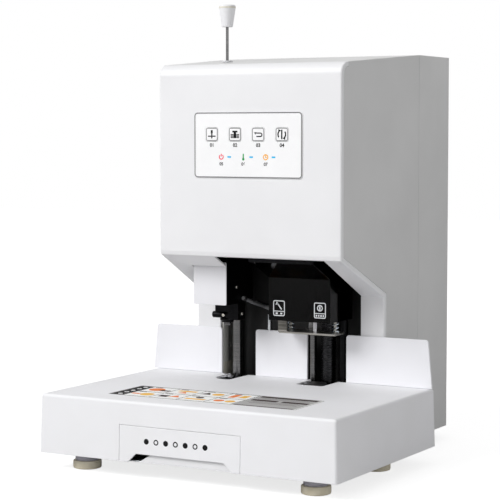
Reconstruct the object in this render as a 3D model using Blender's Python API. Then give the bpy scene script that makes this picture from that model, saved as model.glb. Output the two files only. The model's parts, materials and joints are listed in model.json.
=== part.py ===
# Document riveting machine, desk size: a drill head and a hot rivet head that come down on a
# stack of papers, in a flared hood on a column behind a low table with a fence.
# Metres, +Z up, +X to the operator's right, +Y to the rear. The origin is on the floor, under
# the middle of the machine's length and width.

import math

import bmesh
import bpy
from mathutils import Matrix, Vector

# Fits that the whole machine shares
fit_gap = 0.0003            # between two pieces that touch
running_gap = 0.0004        # round a shaft or beside a piece that slides
cut_over = 0.002            # how far a cutter passes the face that it opens
sheet = 0.0015              # folded steel covers
bracket_sheet = 0.003       # folded steel of the frame
arc_steps = 4               # straight pieces in a rounded corner
round_sides = 24            # sides of a shaft or post
small_sides = 16            # sides of a screw, pin or lens

# Table base
machine_depth = 0.483
base_width = 0.430
base_depth_share = 0.604555  # of the machine's depth
base_height = 0.0768
base_draft = 0.002          # each side leans in by this much at the top
base_wall = 0.003
base_edge_radius = 0.004
foot_height = 0.022
foot_disc_height = 0.010
foot_disc_radius = 0.0168
rubber_foot_radius = 0.0185
foot_inset_x = 0.048        # foot centre from the side of the base
front_foot_y = 0.040        # foot centres from the front of the base
rear_foot_y = 0.210
back_foot_inset = 0.045     # rubber strip under the column, from its sides and rear
back_foot_depth = 0.030
base_plate_sheet = 0.0015

# Chip drawer in the base
drawer_width = 0.1755
drawer_centre_x = -0.0037
drawer_height = 0.0463
drawer_wall = 0.002
drawer_front = 0.003
drawer_travel = 0.160
drawer_overlap = 0.090      # stays on the runners when the drawer is out
tray_floor_rise = 0.013     # finger room under the tray
tray_top_drop = 0.004       # tray below the top of the drawer front
tray_side_inset = 0.004
grip_width = 0.1495
grip_top_width = 0.127
grip_height = 0.011
grip_offset = 0.0005
runner_ledge = 0.006
runner_height = 0.030

# Fence of three guide plates on the table
fence_setback = 0.0144      # front of the plates from the rear end of the base
fence_thickness = 0.003
fence_height = 0.0645
fence_top_taper = 0.006     # outer edges lean in by this much
fence_corner_radius = 0.004
left_slot_x = (-0.103, -0.049)
right_slot_x = (0.031, 0.090)
fence_foot_width = 0.040
fence_foot_depth = 0.014
fence_foot_sheet = 0.002

# Hood and column
hood_reach = 0.109          # front of the hood in front of the fence
rear_cover_depth = 0.1073   # from the joint with the side panels to the rear
front_half_width = 0.136
flare_share = 0.0738        # sideways growth for each length to the rear
cover_wall = 0.0025
cover_lip = 0.006           # white return on the sides
hood_rise = 0.1727          # lower front edge above the table
slope_rise = 0.1182         # rear end of the slope above the table
column_drop = 0.0055        # underside of the column below that of the base
hood_front_height = 0.2517
top_slope_share = 0.0787
hood_corner_radius = 0.016
cover_top_reach = 0.0165    # how far the front cover runs back on the top
opening_right_x = 0.110
opening_left_x = -0.107
opening_front_left_x = -0.053
head_gate_y = 0.0344        # the left opening starts this far behind the hood's front
opening_bottom_rise = 0.008  # above the underside of the base
rear_corner_radius = 0.006
vent_length = 0.060
vent_width = 0.004
vent_pitch = 0.011
vent_rows = 8
vent_rise = 0.330
vent_offset = 0.055

# Control panel on the hood's front
panel_width = 0.161
panel_height = 0.086
panel_rise = 0.1035         # above the hood's lower edge
panel_sheet = 0.0008
panel_corner_radius = 0.0045
key_width = 0.019
key_height = 0.018
key_pitch = 0.035
key_row_rise = 0.057        # key centres above the panel's lower edge
key_row_offset = -0.0015
key_corner_radius = 0.003
key_proud = 0.0005
key_travel = 0.0008
strip_width = 0.090
strip_height = 0.008
strip_rise = 0.0275
strip_offset = -0.0005
board_width = 0.146
board_height = 0.074
board_sheet = 0.0016
switch_size = 0.007
switch_height = 0.0035
standoff_radius = 0.003

# Steel frame
frame_half_width = 0.121
frame_setback = 0.0285      # behind the tool line, like every setback below
frame_depth = 0.109
frame_top_drop = 0.0532     # below the top of the hood at its front
bed_top_drop = 0.0148       # bed plate below the table
bed_thickness = 0.012
bed_front = 0.058           # bed reaches this far in front of the fence
bed_half_width_left = 0.104
bed_half_width_right = 0.107
bed_leg = 0.003
bridge_top_drop = 0.1032
bridge_thickness = 0.008
bridge_reach = 0.0195       # in front of the tool line
recess_setback = 0.0565
recess_rise = 0.0285        # above the hood's lower edge
recess_sheet = 0.002
wall_hole_radius = 0.004
wall_hole_setback = 0.0454
wall_hole_rise = 0.037       # above the table

# Guide posts and lead screws
drill_post_radius = 0.006
drill_post_x = (0.0326, 0.0805)
drill_post_setback = 0.033
rivet_post_radius = 0.007
rivet_post_x = -0.084
rivet_post_setback = 0.031
drill_screw_radius = 0.010
drill_screw_x = 0.0565
drill_screw_setback = 0.035
rivet_screw_radius = 0.005
rivet_screw_x = -0.0945
rivet_screw_setback = 0.045
screw_journal_radius = 0.003
lift_motor_width = 0.042
lift_motor_height = 0.048
lift_motor_chamfer = 0.005
motor_pilot_height = 0.002
motor_pilot_radius = 0.011

# Drill head
punch_margin = 0.0206       # both tools stand this far in front of the fence
drill_x = 0.0535
carriage_rise = 0.1635      # carriage plate above the table
carriage_thickness = 0.012
carriage_left_x = 0.006
carriage_right_x = 0.0895
carriage_reach = 0.0125      # in front of the tool line
carriage_setback = 0.0525
carriage_corner_radius = 0.006
carriage_boss_height = 0.016
carriage_boss_wall = 0.003
bit_radius = 0.00325
bit_bore_radius = 0.00225
chuck_radius = 0.011
chuck_neck_radius = 0.008
chuck_hold = 0.012          # bit inside the chuck
spindle_radius = 0.005
quill_radius = 0.012        # bearing tube between the carriage plate and the motor
quill_height = 0.040
drill_motor_radius = 0.022
drill_motor_length = 0.072
motor_cap_radius = 0.012
motor_cap_height = 0.006
laser_radius = 0.0045
laser_length = 0.018
laser_offset_x = 0.0182

# Press plate, its pins and springs
drill_stroke = 0.0662
press_travel = 0.058        # of the plate against its springs
press_end_gap = 0.0062      # chuck over the plate when the springs are pressed
plate_thickness = 0.0025
plate_left_x = 0.006
plate_right_x = 0.090
plate_reach = 0.016
plate_setback = 0.018
plate_corner_radius = 0.003
tab_width = 0.0133          # bent up at the front left corner
tab_height = 0.030
tongue_width = 0.012
tongue_ring_wall = 0.0027
bit_hole_radius = 0.0042
pin_x = (0.0165, 0.0835)
pin_setback = 0.001
pin_radius = 0.0022
pin_head_radius = 0.0045
pin_head_height = 0.0015
spring_radius = 0.0048      # to the middle of the wire
spring_wire = 0.0007
spring_curls = 20
curl_points = 9
stroke_end_gap = 0.0003     # press plate over the table at the end of the stroke

# Cutting pad in the table
pad_radius = 0.016
pad_cutout_x = (0.036, 0.0768)
pad_cutout_reach = 0.0241
cutout_radius = 0.004

# Rivet head
rivet_x = -0.082
rivet_stroke = 0.0665
rivet_close_gap = 0.001     # between the dies at the end of the stroke
head_cover_width = 0.051
head_cover_left_x = -0.105
head_cover_height = 0.058
head_cover_rise = 0.1035
head_cover_sheet = 0.0015
head_cover_reach = 0.052
head_cover_radius = 0.002
head_back_setback = 0.0115
head_block_top_rise = 0.175
head_arm_x = (-0.1025, -0.0725)
head_arm_setback = 0.0545
head_leg_width = 0.016
head_leg_depth = 0.020
head_leg_drop = 0.023
holder_left_x = -0.097
holder_depth = 0.016
holder_drop = 0.0153        # block below the rivet head
cross_left_x = -0.1005
cross_radius = 0.0045
die_collar_radius = 0.0105
die_collar_height = 0.0055
die_tip_radius = 0.0055
die_tip_height = 0.005
die_shank_radius = 0.004
die_shank_height = 0.006
lower_die_radius = 0.011
lower_die_rise = 0.003      # top above the table
lower_die_tip_radius = 0.0055
lower_die_tip_height = 0.008
lower_die_collar_radius = 0.0088
lower_die_collar_height = 0.003
die_cutout_x = (-0.0915, -0.0625)
die_cutout_radii = (0.020, 0.005)
die_cutout_reach = 0.030
lead_radius = 0.0025

# Tube rod with its knob
rod_radius = 0.002
rod_end_gap = 0.0012        # over the die's tip when the rod is down
rod_travel = 0.045
knob_rise = 0.0548          # above the top of the hood at its front
knob_height = 0.030
knob_top_radius = 0.0115
knob_bottom_radius = 0.0075
knob_chamfer = 0.002
knob_hold = 0.018           # rod inside the knob
bushing_radius = 0.005
bushing_flange_radius = 0.0075
bushing_flange = 0.0012
bushing_length = 0.010

# Smoked cover in front of the drill, with a wall on its right
smoked_left_x = 0.0005
smoked_right_x = 0.0925
smoked_reach = 0.0325       # in front of the tool line
smoked_bottom_rise = 0.0852
smoked_bend_rise = 0.1425
smoked_wall_setback = 0.0345
smoked_sheet = 0.002

# Power parts at the rear
supply_width = 0.110
supply_height = 0.098
supply_depth = 0.050
supply_rise = 0.060
inlet_x = -0.095
inlet_rise = 0.0535         # above the underside of the column
inlet_width = 0.048
inlet_height = 0.028
inlet_body_width = 0.028
inlet_body_height = 0.020
inlet_body_depth = 0.022
inlet_flange = 0.002
inlet_socket_depth = 0.016
inlet_socket_wall = 0.002
inlet_pin_width = 0.002
inlet_pin_height = 0.004
inlet_pin_pitch = 0.007
rocker_pitch = 0.042        # above the inlet
rocker_width = 0.013
rocker_height = 0.021
rocker_frame = 0.003
rocker_depth = 0.003        # middle of the rocker from its pivot
rocker_body_depth = 0.009
rocker_turn = math.radians(10)

# Places that follow from the sizes above
front_y = -machine_depth / 2
rear_y = machine_depth / 2
base_rear_y = front_y + machine_depth * base_depth_share
table_z = foot_height + base_height
fence_y = base_rear_y - fence_setback
fence_back_y = fence_y + fence_thickness
punch_y = fence_y - punch_margin
column_y = fence_back_y + fit_gap
hood_y = fence_y - hood_reach
seam_y = rear_y - rear_cover_depth
hood_bottom_z = table_z + hood_rise
slope_back_z = table_z + slope_rise
column_bottom_z = foot_height - column_drop
top_front_z = hood_bottom_z + hood_front_height
panel_bottom_z = hood_bottom_z + panel_rise
bed_z = table_z - bed_top_drop
bed_bottom_z = bed_z - bed_thickness
frame_front_y = punch_y + frame_setback
frame_rear_y = frame_front_y + frame_depth
frame_top_z = top_front_z - frame_top_drop
bridge_z = top_front_z - bridge_top_drop
bridge_front_y = punch_y - bridge_reach
recess_y = punch_y + recess_setback
recess_high_z = hood_bottom_z + recess_rise
drill_post_y = punch_y + drill_post_setback
drill_screw_y = punch_y + drill_screw_setback
rivet_post_y = punch_y + rivet_post_setback
rivet_screw_y = punch_y + rivet_screw_setback
floor_top_z = column_bottom_z + bracket_sheet
plate_z = table_z + stroke_end_gap + drill_stroke
bit_tip_z = plate_z
carriage_z = table_z + carriage_rise
carriage_top_z = carriage_z + carriage_thickness
carriage_front_y = punch_y - carriage_reach
carriage_rear_y = punch_y + carriage_setback
chuck_bottom_z = plate_z + plate_thickness + press_travel + press_end_gap
chuck_length = carriage_z - fit_gap - chuck_bottom_z
plate_front_y = punch_y - plate_reach
plate_rear_y = punch_y + plate_setback
pin_y = punch_y + pin_setback
smoked_y = punch_y - smoked_reach
lower_die_top_z = table_z + lower_die_rise
rivet_tip_z = lower_die_top_z + rivet_close_gap + rivet_stroke
head_z = table_z + head_cover_rise
head_top_z = table_z + head_block_top_rise
head_cover_front_y = punch_y - head_cover_reach
head_back_y = punch_y + head_back_setback
head_arm_rear_y = punch_y + head_arm_setback
rod_low_z = rivet_tip_z + rod_end_gap + rod_travel
knob_bottom_z = top_front_z + knob_rise
inlet_z = column_bottom_z + inlet_rise
rocker_z = inlet_z + rocker_pitch
drawer_low_x = drawer_centre_x - drawer_width / 2
drawer_high_x = drawer_centre_x + drawer_width / 2
drawer_top_z = foot_height + drawer_height
drawer_length = drawer_travel + drawer_overlap

finishes = {
    "white_abs": ((0.88, 0.88, 0.88), 0.38, 0.0),
    "grey_paint": ((0.38, 0.38, 0.38), 0.45, 0.0),
    "white_paint": ((0.82, 0.82, 0.84), 0.35, 0.0),
    "bare_steel": ((0.55, 0.55, 0.56), 0.35, 1.0),
    "polished_steel": ((0.80, 0.80, 0.82), 0.12, 1.0),
    "zinc_steel": ((0.72, 0.73, 0.74), 0.28, 1.0),
    "black_steel": ((0.03, 0.03, 0.03), 0.40, 0.6),
    "grey_steel": ((0.25, 0.25, 0.26), 0.45, 0.6),
    "aluminium": ((0.68, 0.69, 0.70), 0.38, 1.0),
    "black_plastic": ((0.02, 0.02, 0.02), 0.45, 0.0),
    "grey_plastic": ((0.42, 0.40, 0.46), 0.50, 0.0),
    "beige_rubber": ((0.62, 0.54, 0.42), 0.80, 0.0),
    "black_rubber": ((0.03, 0.03, 0.03), 0.75, 0.0),
    "smoked_acrylic": ((0.06, 0.06, 0.07), 0.08, 0.0),
    "clear_lens": ((0.70, 0.80, 0.85), 0.15, 0.0),
    "panel_film": ((0.90, 0.90, 0.90), 0.30, 0.0),
    "green_board": ((0.02, 0.18, 0.08), 0.50, 0.0),
}

world_place = {}


def half_width(y):
    """Half of the hood's width at a depth: it flares to the seam, and is straight behind it."""
    return front_half_width + flare_share * (min(y, seam_y) - hood_y)


def top_z(y):
    """Height of the hood's top, which climbs to the seam and is level behind it."""
    return top_front_z + top_slope_share * (min(y, seam_y) - hood_y)


def circle(centre, radius, sides=round_sides):
    turn = 2 * math.pi / sides
    return [(centre[0] + radius * math.cos(turn * side), centre[1] + radius * math.sin(turn * side))
            for side in range(sides)]


def rectangle(low, high):
    return [(low[0], low[1]), (high[0], low[1]), (high[0], high[1]), (low[0], high[1])]


def rounded(corners, radii):
    """Outline through the corners, each one turned into an arc of its own radius."""
    if not isinstance(radii, (list, tuple)):
        radii = [radii] * len(corners)
    outline = []
    for index, radius in enumerate(radii):
        corner = Vector(corners[index])
        if radius == 0:
            outline.append(tuple(corner))
            continue
        before = (Vector(corners[index - 1]) - corner).normalized()
        after = (Vector(corners[(index + 1) % len(corners)]) - corner).normalized()
        half_angle = before.angle(after) / 2
        centre = corner + (before + after).normalized() * (radius / math.sin(half_angle))
        reach = radius / math.tan(half_angle)
        start = (corner + before * reach - centre).normalized()
        end = (corner + after * reach - centre).normalized()
        outline += [tuple(centre + radius * start.slerp(end,
                                                        step / arc_steps)) for step in range(arc_steps + 1)]
    return outline


def beside(path, distance):
    """Open path moved to its left by a distance, with mitred corners."""
    points = [Vector(point) for point in path]
    moved = []
    for index, point in enumerate(points):
        normals = []
        if index > 0:
            run = (point - points[index - 1]).normalized()
            normals.append(Vector((-run.y, run.x)))
        if index < len(points) - 1:
            run = (points[index + 1] - point).normalized()
            normals.append(Vector((-run.y, run.x)))
        normal = sum(normals, Vector((0, 0))).normalized()
        moved.append(tuple(point + normal * (distance / normal.dot(normals[0]))))
    return moved


def lengthen(path, length):
    """Open path with both of its ends run on by a length."""
    points = [Vector(point) for point in path]
    points[0] += (points[0] - points[1]).normalized() * length
    points[-1] += (points[-1] - points[-2]).normalized() * length
    return [tuple(point) for point in points]


def band(path, near, far):
    """Closed outline between two distances beside a path."""
    return beside(path, near) + beside(path, far)[::-1]


def prism(outline, axis, low, high):
    """Solid between two copies of an outline, which lies square to the axis."""
    order = {"x": (2, 0, 1), "y": (0, 2, 1), "z": (0, 1, 2)}[axis]

    def spot(first, second, along):
        return Vector([(first, second, along)[place] for place in order])

    mesh = bmesh.new()
    face = mesh.faces.new([mesh.verts.new(spot(first, second, low)) for first, second in outline])
    grown = bmesh.ops.extrude_face_region(mesh, geom=[face])["geom"]
    far_side = [item for item in grown if isinstance(item, bmesh.types.BMVert)]
    bmesh.ops.translate(mesh, verts=far_side, vec=spot(0, 0, high - low))
    bmesh.ops.recalc_face_normals(mesh, faces=mesh.faces)
    return mesh


def box(low, high):
    return prism(rectangle(low, high), "z", low[2], high[2])


def cylinder(centre, radius, low, high, axis="z", sides=round_sides):
    return prism(circle(centre, radius, sides), axis, low, high)


def turned(centre, profile, sides=round_sides):
    """Solid of revolution about a vertical axis from (radius, height) points, bottom first."""
    mesh = bmesh.new()
    points = [mesh.verts.new((centre[0] + radius, centre[1], height)) for radius, height in profile]
    edges = [mesh.edges.new(pair) for pair in zip(points, points[1:])]
    bmesh.ops.spin(mesh, geom=points + edges, cent=(centre[0], centre[1], 0), axis=(0, 0, 1),
                   angle=2 * math.pi, steps=sides, use_merge=True, use_duplicate=False)
    bmesh.ops.remove_doubles(mesh, verts=mesh.verts, dist=fit_gap / 100)
    bmesh.ops.recalc_face_normals(mesh, faces=mesh.faces)
    return mesh


def flared(outline, inset=0):
    """Solid from a side outline (y, z), as wide as the flared hood less an inset on each side."""
    mesh = bmesh.new()
    right = [mesh.verts.new((half_width(y) - inset, y, z)) for y, z in outline]
    left = [mesh.verts.new((inset - half_width(y), y, z)) for y, z in outline]
    mesh.faces.new(right)
    mesh.faces.new(left[::-1])
    for index in range(len(outline)):
        mesh.faces.new((right[index - 1], left[index - 1], left[index], right[index]))
    bmesh.ops.recalc_face_normals(mesh, faces=mesh.faces)
    return mesh


def side_sheet(outline, side):
    """One flared side panel, a sheet thick, on the left (-1) or the right (1)."""
    mesh = bmesh.new()
    outer = [mesh.verts.new((side * half_width(y), y, z)) for y, z in outline]
    inner = [mesh.verts.new((side * (half_width(y) - sheet), y, z)) for y, z in outline]
    mesh.faces.new(outer)
    mesh.faces.new(inner[::-1])
    for index in range(len(outline)):
        mesh.faces.new((outer[index - 1], inner[index - 1], inner[index], outer[index]))
    bmesh.ops.recalc_face_normals(mesh, faces=mesh.faces)
    return mesh


def together(*meshes):
    """One mesh that holds several solids which don't touch."""
    whole = bmesh.new()
    for mesh in meshes:
        copy = bpy.data.meshes.new("piece")
        mesh.to_mesh(copy)
        mesh.free()
        whole.from_mesh(copy)
        bpy.data.meshes.remove(copy)
    return whole


def place_object(name, mesh, origin, parent):
    data = bpy.data.meshes.new(name)
    bmesh.ops.translate(mesh, verts=mesh.verts, vec=-Vector(origin))
    mesh.to_mesh(data)
    mesh.free()
    item = bpy.data.objects.new(name, data)
    item.location = origin
    bpy.context.scene.collection.objects.link(item)
    world_place[name] = Vector(origin)
    if parent is not None:
        item.parent = parent
        item.matrix_parent_inverse = Matrix.Translation(-world_place[parent.name])
    return item


def own_material(name, finish):
    colour, roughness, metallic = finishes[finish]
    material = bpy.data.materials.new(name + "_" + finish)
    material.use_nodes = True
    shader = material.node_tree.nodes["Principled BSDF"]
    shader.inputs["Base Color"].default_value = (*colour, 1)
    shader.inputs["Roughness"].default_value = roughness
    shader.inputs["Metallic"].default_value = metallic
    return material


def add(name, mesh, finish, origin=(0, 0, 0), parent=None, smooth=False):
    """One sub-part: an object with its own material."""
    item = place_object(name, mesh, origin, parent)
    item.data.materials.append(own_material(name, finish))
    if smooth:
        item.data.shade_smooth()
        item.data.set_sharp_from_angle(angle=math.radians(35))
    return item


def add_wire(name, points, radius, resolution, finish, origin=(0, 0, 0), parent=None):
    """One sub-part that is a round tube along points."""
    wire = bpy.data.curves.new(name, "CURVE")
    wire.dimensions = "3D"
    wire.bevel_depth = radius
    wire.bevel_resolution = resolution
    wire.use_fill_caps = True
    wire.materials.append(own_material(name, finish))
    spline = wire.splines.new("POLY")
    spline.points.add(len(points) - 1)
    for point, place in zip(spline.points, points):
        point.co = (*(Vector(place) - Vector(origin)), 1)
    item = bpy.data.objects.new(name, wire)
    item.location = origin
    bpy.context.scene.collection.objects.link(item)
    if parent is not None:
        item.parent = parent
        item.matrix_parent_inverse = Matrix.Translation(-world_place[parent.name])
    return item


def combine(target, mesh, operation):
    """Cut a shape out of a sub-part, or join one to it."""
    name = f"{target.name}_{operation.lower()}_{len(target.modifiers)}"
    tool = place_object(name, mesh, world_place[target.name], target)
    tool.hide_render = True
    tool.display_type = "WIRE"
    modifier = target.modifiers.new(name, "BOOLEAN")
    modifier.operation = operation
    modifier.solver = "EXACT"
    modifier.object = tool


def cut(target, *meshes):
    for mesh in meshes:
        combine(target, mesh, "DIFFERENCE")


def join(target, *meshes):
    for mesh in meshes:
        combine(target, mesh, "UNION")


def joint_empty(name, place, parent=None):
    """Empty on a joint's axis that carries the pieces which move together."""
    empty = bpy.data.objects.new(name, None)
    empty.location = place
    bpy.context.scene.collection.objects.link(empty)
    world_place[name] = Vector(place)
    if parent is not None:
        empty.parent = parent
        empty.matrix_parent_inverse = Matrix.Translation(-world_place[parent.name])
    return empty


def drafted_block(low, high, draft, radius):
    """Block whose sides lean in towards its top, with round upper and upright edges."""
    mesh = box(low, high)
    for vert in mesh.verts:
        if vert.co.z > (low[2] + high[2]) / 2:
            middle = ((low[0] + high[0]) / 2, (low[1] + high[1]) / 2)
            vert.co.x -= math.copysign(draft, vert.co.x - middle[0])
            vert.co.y -= math.copysign(draft, vert.co.y - middle[1])
    edges = [edge for edge in mesh.edges if max(vert.co.z for vert in edge.verts) > low[2]]
    bmesh.ops.bevel(mesh, geom=edges, offset=radius, segments=3, affect="EDGES", profile=0.5)
    return mesh


def build_base():
    wide = base_width / 2
    shell = add("base_shell", drafted_block((-wide, front_y, foot_height), (wide, base_rear_y, table_z),
                                            base_draft, base_edge_radius), "white_abs")
    inner = wide - base_draft - base_wall
    cut(shell, box((-inner, front_y + base_draft + base_wall, foot_height - cut_over),
                   (inner, base_rear_y - base_draft - base_wall, table_z - base_wall)))
    notch = rectangle((-half_width(column_y) - fit_gap, column_y - fit_gap),
                      (half_width(column_y) + fit_gap, base_rear_y + cut_over))
    notch[2] = (half_width(base_rear_y + cut_over) + fit_gap, notch[2][1])
    notch[3] = (-half_width(base_rear_y + cut_over) - fit_gap, notch[3][1])
    cut(shell, prism(notch, "z", foot_height - cut_over, table_z + cut_over))
    drawer_hole = box((drawer_low_x, front_y - cut_over, foot_height - cut_over),
                      (drawer_high_x, front_y + base_draft + base_wall + cut_over, drawer_top_z))
    cut(shell, drawer_hole)
    pad_hole = rounded(rectangle((pad_cutout_x[0], punch_y - pad_cutout_reach),
                                 (pad_cutout_x[1], column_y + cut_over)),
                       [cutout_radius, cutout_radius, 0, 0])
    cut(shell, prism(pad_hole, "z", table_z - base_wall - cut_over, table_z + cut_over))
    die_hole = rounded(rectangle((die_cutout_x[0], punch_y - die_cutout_reach),
                                 (die_cutout_x[1], column_y + cut_over)),
                       [*die_cutout_radii, 0, 0])
    cut(shell, prism(die_hole, "z", table_z - base_wall - cut_over, table_z + cut_over))

    plate_x = inner - fit_gap
    plate_front = front_y + base_draft + base_wall + fit_gap
    plate_rear = column_y - 2 * fit_gap
    add("base_plate", box((-plate_x, plate_front, foot_height),
                          (plate_x, plate_rear, foot_height + base_plate_sheet)), "zinc_steel")

    rubber_top = foot_height - foot_disc_height
    for side, hand in ((-1, "left"), (1, "right")):
        for along, row in ((front_foot_y, "front"), (rear_foot_y, "middle")):
            place = (side * (wide - foot_inset_x), front_y + along)
            add(f"{row}_{hand}_foot", turned(place,
                                             [(0, 0), (rubber_foot_radius, 0),
                                              (rubber_foot_radius, rubber_top),
                                              (foot_disc_radius, rubber_top),
                                              (foot_disc_radius, foot_height - fit_gap),
                                              (0, foot_height - fit_gap)]), "beige_rubber",
                smooth=True)
    back_x = half_width(rear_y) - back_foot_inset
    add("back_foot", box((-back_x, rear_y - back_foot_inset - back_foot_depth, 0),
                         (back_x, rear_y - back_foot_inset, column_bottom_z - fit_gap)), "beige_rubber")


def build_drawer():
    middle = drawer_centre_x
    low_x, high_x = drawer_low_x + running_gap, drawer_high_x - running_gap
    origin = (middle, front_y, foot_height)
    lean = base_draft * drawer_height / base_height
    front = prism([(front_y, foot_height), (front_y + drawer_front, foot_height),
                   (front_y + drawer_front + lean, drawer_top_z - running_gap),
                   (front_y + lean, drawer_top_z - running_gap)], "x", low_x, high_x)
    drawer = add("chip_drawer", front, "white_abs", origin)
    tray_x = drawer_width / 2 - tray_side_inset
    tray_low = foot_height + tray_floor_rise
    tray_top = drawer_top_z - tray_top_drop
    tray_rear = front_y + drawer_length
    join(drawer, box((middle - tray_x, front_y + drawer_front / 2, tray_low),
                     (middle + tray_x, tray_rear, tray_top)))
    cut(drawer, box((middle - tray_x + drawer_wall, front_y + drawer_front + lean + drawer_wall,
                     tray_low + drawer_wall),
                    (middle + tray_x - drawer_wall, tray_rear - drawer_wall, tray_top + cut_over)))
    grip_x = middle + grip_offset
    grip = [(grip_x - grip_width / 2, foot_height - cut_over),
            (grip_x + grip_width / 2, foot_height - cut_over),
            (grip_x + grip_width / 2, foot_height),
            (grip_x + grip_top_width / 2, foot_height + grip_height),
            (grip_x - grip_top_width / 2, foot_height + grip_height),
            (grip_x - grip_width / 2, foot_height)]
    cut(drawer, prism(grip, "y", front_y - cut_over, front_y + drawer_front + lean + cut_over))

    rail_low = foot_height + base_plate_sheet + fit_gap
    rail_front = front_y + base_draft + base_wall + cut_over
    for side, hand in ((-1, "left"), (1, "right")):
        inside = middle + side * (tray_x - runner_ledge)
        face = middle + side * (tray_x + running_gap)
        outside = face + side * drawer_wall
        ledge = tray_low - running_gap
        outline = [(outside, rail_low), (face, rail_low), (face, ledge - drawer_wall),
                   (inside, ledge - drawer_wall), (inside, ledge), (face, ledge),
                   (face, rail_low + runner_height), (outside, rail_low + runner_height)]
        add(hand + "_drawer_runner", prism(outline, "y", rail_front, tray_rear), "zinc_steel")


def fence_outline(low_x, high_x):
    """Plate outline (x, z): an edge at the side of the table leans in, the others are upright."""
    bottom = table_z + fit_gap
    top = table_z + fence_height
    lean_low = fence_top_taper if low_x == -base_width / 2 else 0
    lean_high = fence_top_taper if high_x == base_width / 2 else 0
    return rounded([(low_x, bottom), (high_x, bottom), (high_x - lean_high, top), (low_x + lean_low, top)],
                   [0, 0, fence_corner_radius, fence_corner_radius])


def build_fence():
    edge = base_width / 2
    spans = {"left_guide_plate": (-edge, left_slot_x[0]), "right_guide_plate": (right_slot_x[1], edge),
             "middle_guide_plate": (left_slot_x[1], right_slot_x[0])}
    plates = {name: add(name, prism(fence_outline(*span), "y", fence_y, fence_back_y), "white_paint")
              for name, span in spans.items()}
    foot_x = (left_slot_x[1] + right_slot_x[0]) / 2
    foot_low = bed_z + fit_gap
    foot_back = column_y + fence_foot_sheet
    foot = [(fence_back_y - fence_foot_sheet / 2, table_z + fence_foot_depth),
            (foot_back, table_z + fence_foot_depth),
            (foot_back, foot_low + fence_foot_sheet),
            (column_y + fence_foot_depth, foot_low + fence_foot_sheet),
            (column_y + fence_foot_depth, foot_low), (column_y, foot_low),
            (column_y, table_z + fence_foot_sheet),
            (fence_back_y - fence_foot_sheet / 2, table_z + fence_foot_sheet)]
    join(plates["middle_guide_plate"],
         prism(foot, "x", foot_x - fence_foot_width / 2, foot_x + fence_foot_width / 2))


def front_path():
    """Side line (y, z) of the front cover: over the top corner, down the front, slope and column."""
    corner = (hood_y, top_z(hood_y))
    start = (hood_y + cover_top_reach + fit_gap, top_z(hood_y + cover_top_reach + fit_gap))
    corners = [start, corner, (hood_y, hood_bottom_z), (column_y, slope_back_z),
               (column_y, column_bottom_z)]
    return rounded(corners, [0, hood_corner_radius, 0, 0, 0])


def build_housing():
    path = front_path()
    cover = add("front_cover", flared(band(path, 0, cover_lip)), "white_abs")
    cut(cover, flared(band(lengthen(path, cut_over), cover_wall, cover_lip + cut_over), cover_wall))
    open_low = foot_height + opening_bottom_rise
    behind = column_y + cover_lip + cut_over
    in_hood = hood_bottom_z + cover_lip + cut_over
    gate_y = hood_y + head_gate_y
    opening = [(opening_front_left_x, hood_y + cover_wall), (opening_right_x, hood_y + cover_wall),
               (opening_right_x, behind), (opening_left_x, behind), (opening_left_x, gate_y),
               (opening_front_left_x, gate_y)]
    cut(cover, prism(opening, "z", open_low, in_hood))
    first_key = key_row_offset - key_pitch * 1.5
    key_z = panel_bottom_z + key_row_rise
    key_holes = [key_outline(first_key + key_pitch * column, key_z, running_gap) for column in range(4)]
    for outline in key_holes:
        cut(cover, prism(outline, "y", hood_y - cut_over, hood_y + cover_wall + cut_over))

    seam_front = seam_y - fit_gap / 2
    inner = beside(path, cover_lip + fit_gap)
    inner[0] = (inner[0][0] + fit_gap, inner[0][1])
    top_front = path[0][0] + fit_gap
    outline = [(seam_front, top_z(seam_front)), (top_front, top_z(top_front))] + inner
    outline.append((seam_front, column_bottom_z))
    add("left_side_panel", side_sheet(outline, -1), "grey_paint")
    add("right_side_panel", side_sheet(outline, 1), "grey_paint")
    top_line = [(seam_front, top_z(seam_front)), (top_front + fit_gap, top_z(top_front + fit_gap))]
    lid = add("top_panel", flared(band(top_line, 0, sheet), sheet + fit_gap), "grey_paint")
    cut(lid,
        cylinder((rivet_x, punch_y), bushing_radius + fit_gap, top_front_z - cut_over,
                 top_z(seam_y) + cut_over))

    seam_back = seam_y + fit_gap / 2
    wide = half_width(seam_y)
    plan = rounded(rectangle((-wide, seam_back), (wide, rear_y)),
                   [0, 0, rear_corner_radius, rear_corner_radius])
    rear = add("rear_cover", prism(plan, "z", column_bottom_z, top_z(seam_y)), "grey_paint")
    hollow = rounded(rectangle((sheet - wide, seam_back - cut_over), (wide - sheet, rear_y - sheet)),
                     [0, 0, rear_corner_radius - sheet, rear_corner_radius - sheet])
    cut(rear, prism(hollow, "z", column_bottom_z - cut_over, top_z(seam_y) - sheet))
    slots = []
    for side in (-1, 1):
        for row in range(vent_rows):
            low = (side * vent_offset - vent_length / 2, table_z + vent_rise + row * vent_pitch)
            outline = rounded(rectangle(low, (low[0] + vent_length, low[1] + vent_width)),
                              vent_width / 2 - fit_gap)
            slots.append(prism(outline, "y", rear_y - sheet - cut_over, rear_y + cut_over))
    cut(rear, together(*slots))
    body_x, body_z = inlet_body_width / 2 + fit_gap, inlet_body_height / 2 + fit_gap
    cut(rear, box((inlet_x - body_x, rear_y - sheet - cut_over, inlet_z - body_z),
                  (inlet_x + body_x, rear_y + cut_over, inlet_z + body_z)))
    switch_x, switch_z = rocker_width / 2 + rocker_frame, rocker_height / 2 + rocker_frame
    cut(rear, box((inlet_x - switch_x, rear_y - sheet - cut_over, rocker_z - switch_z),
                  (inlet_x + switch_x, rear_y + cut_over, rocker_z + switch_z)))


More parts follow.
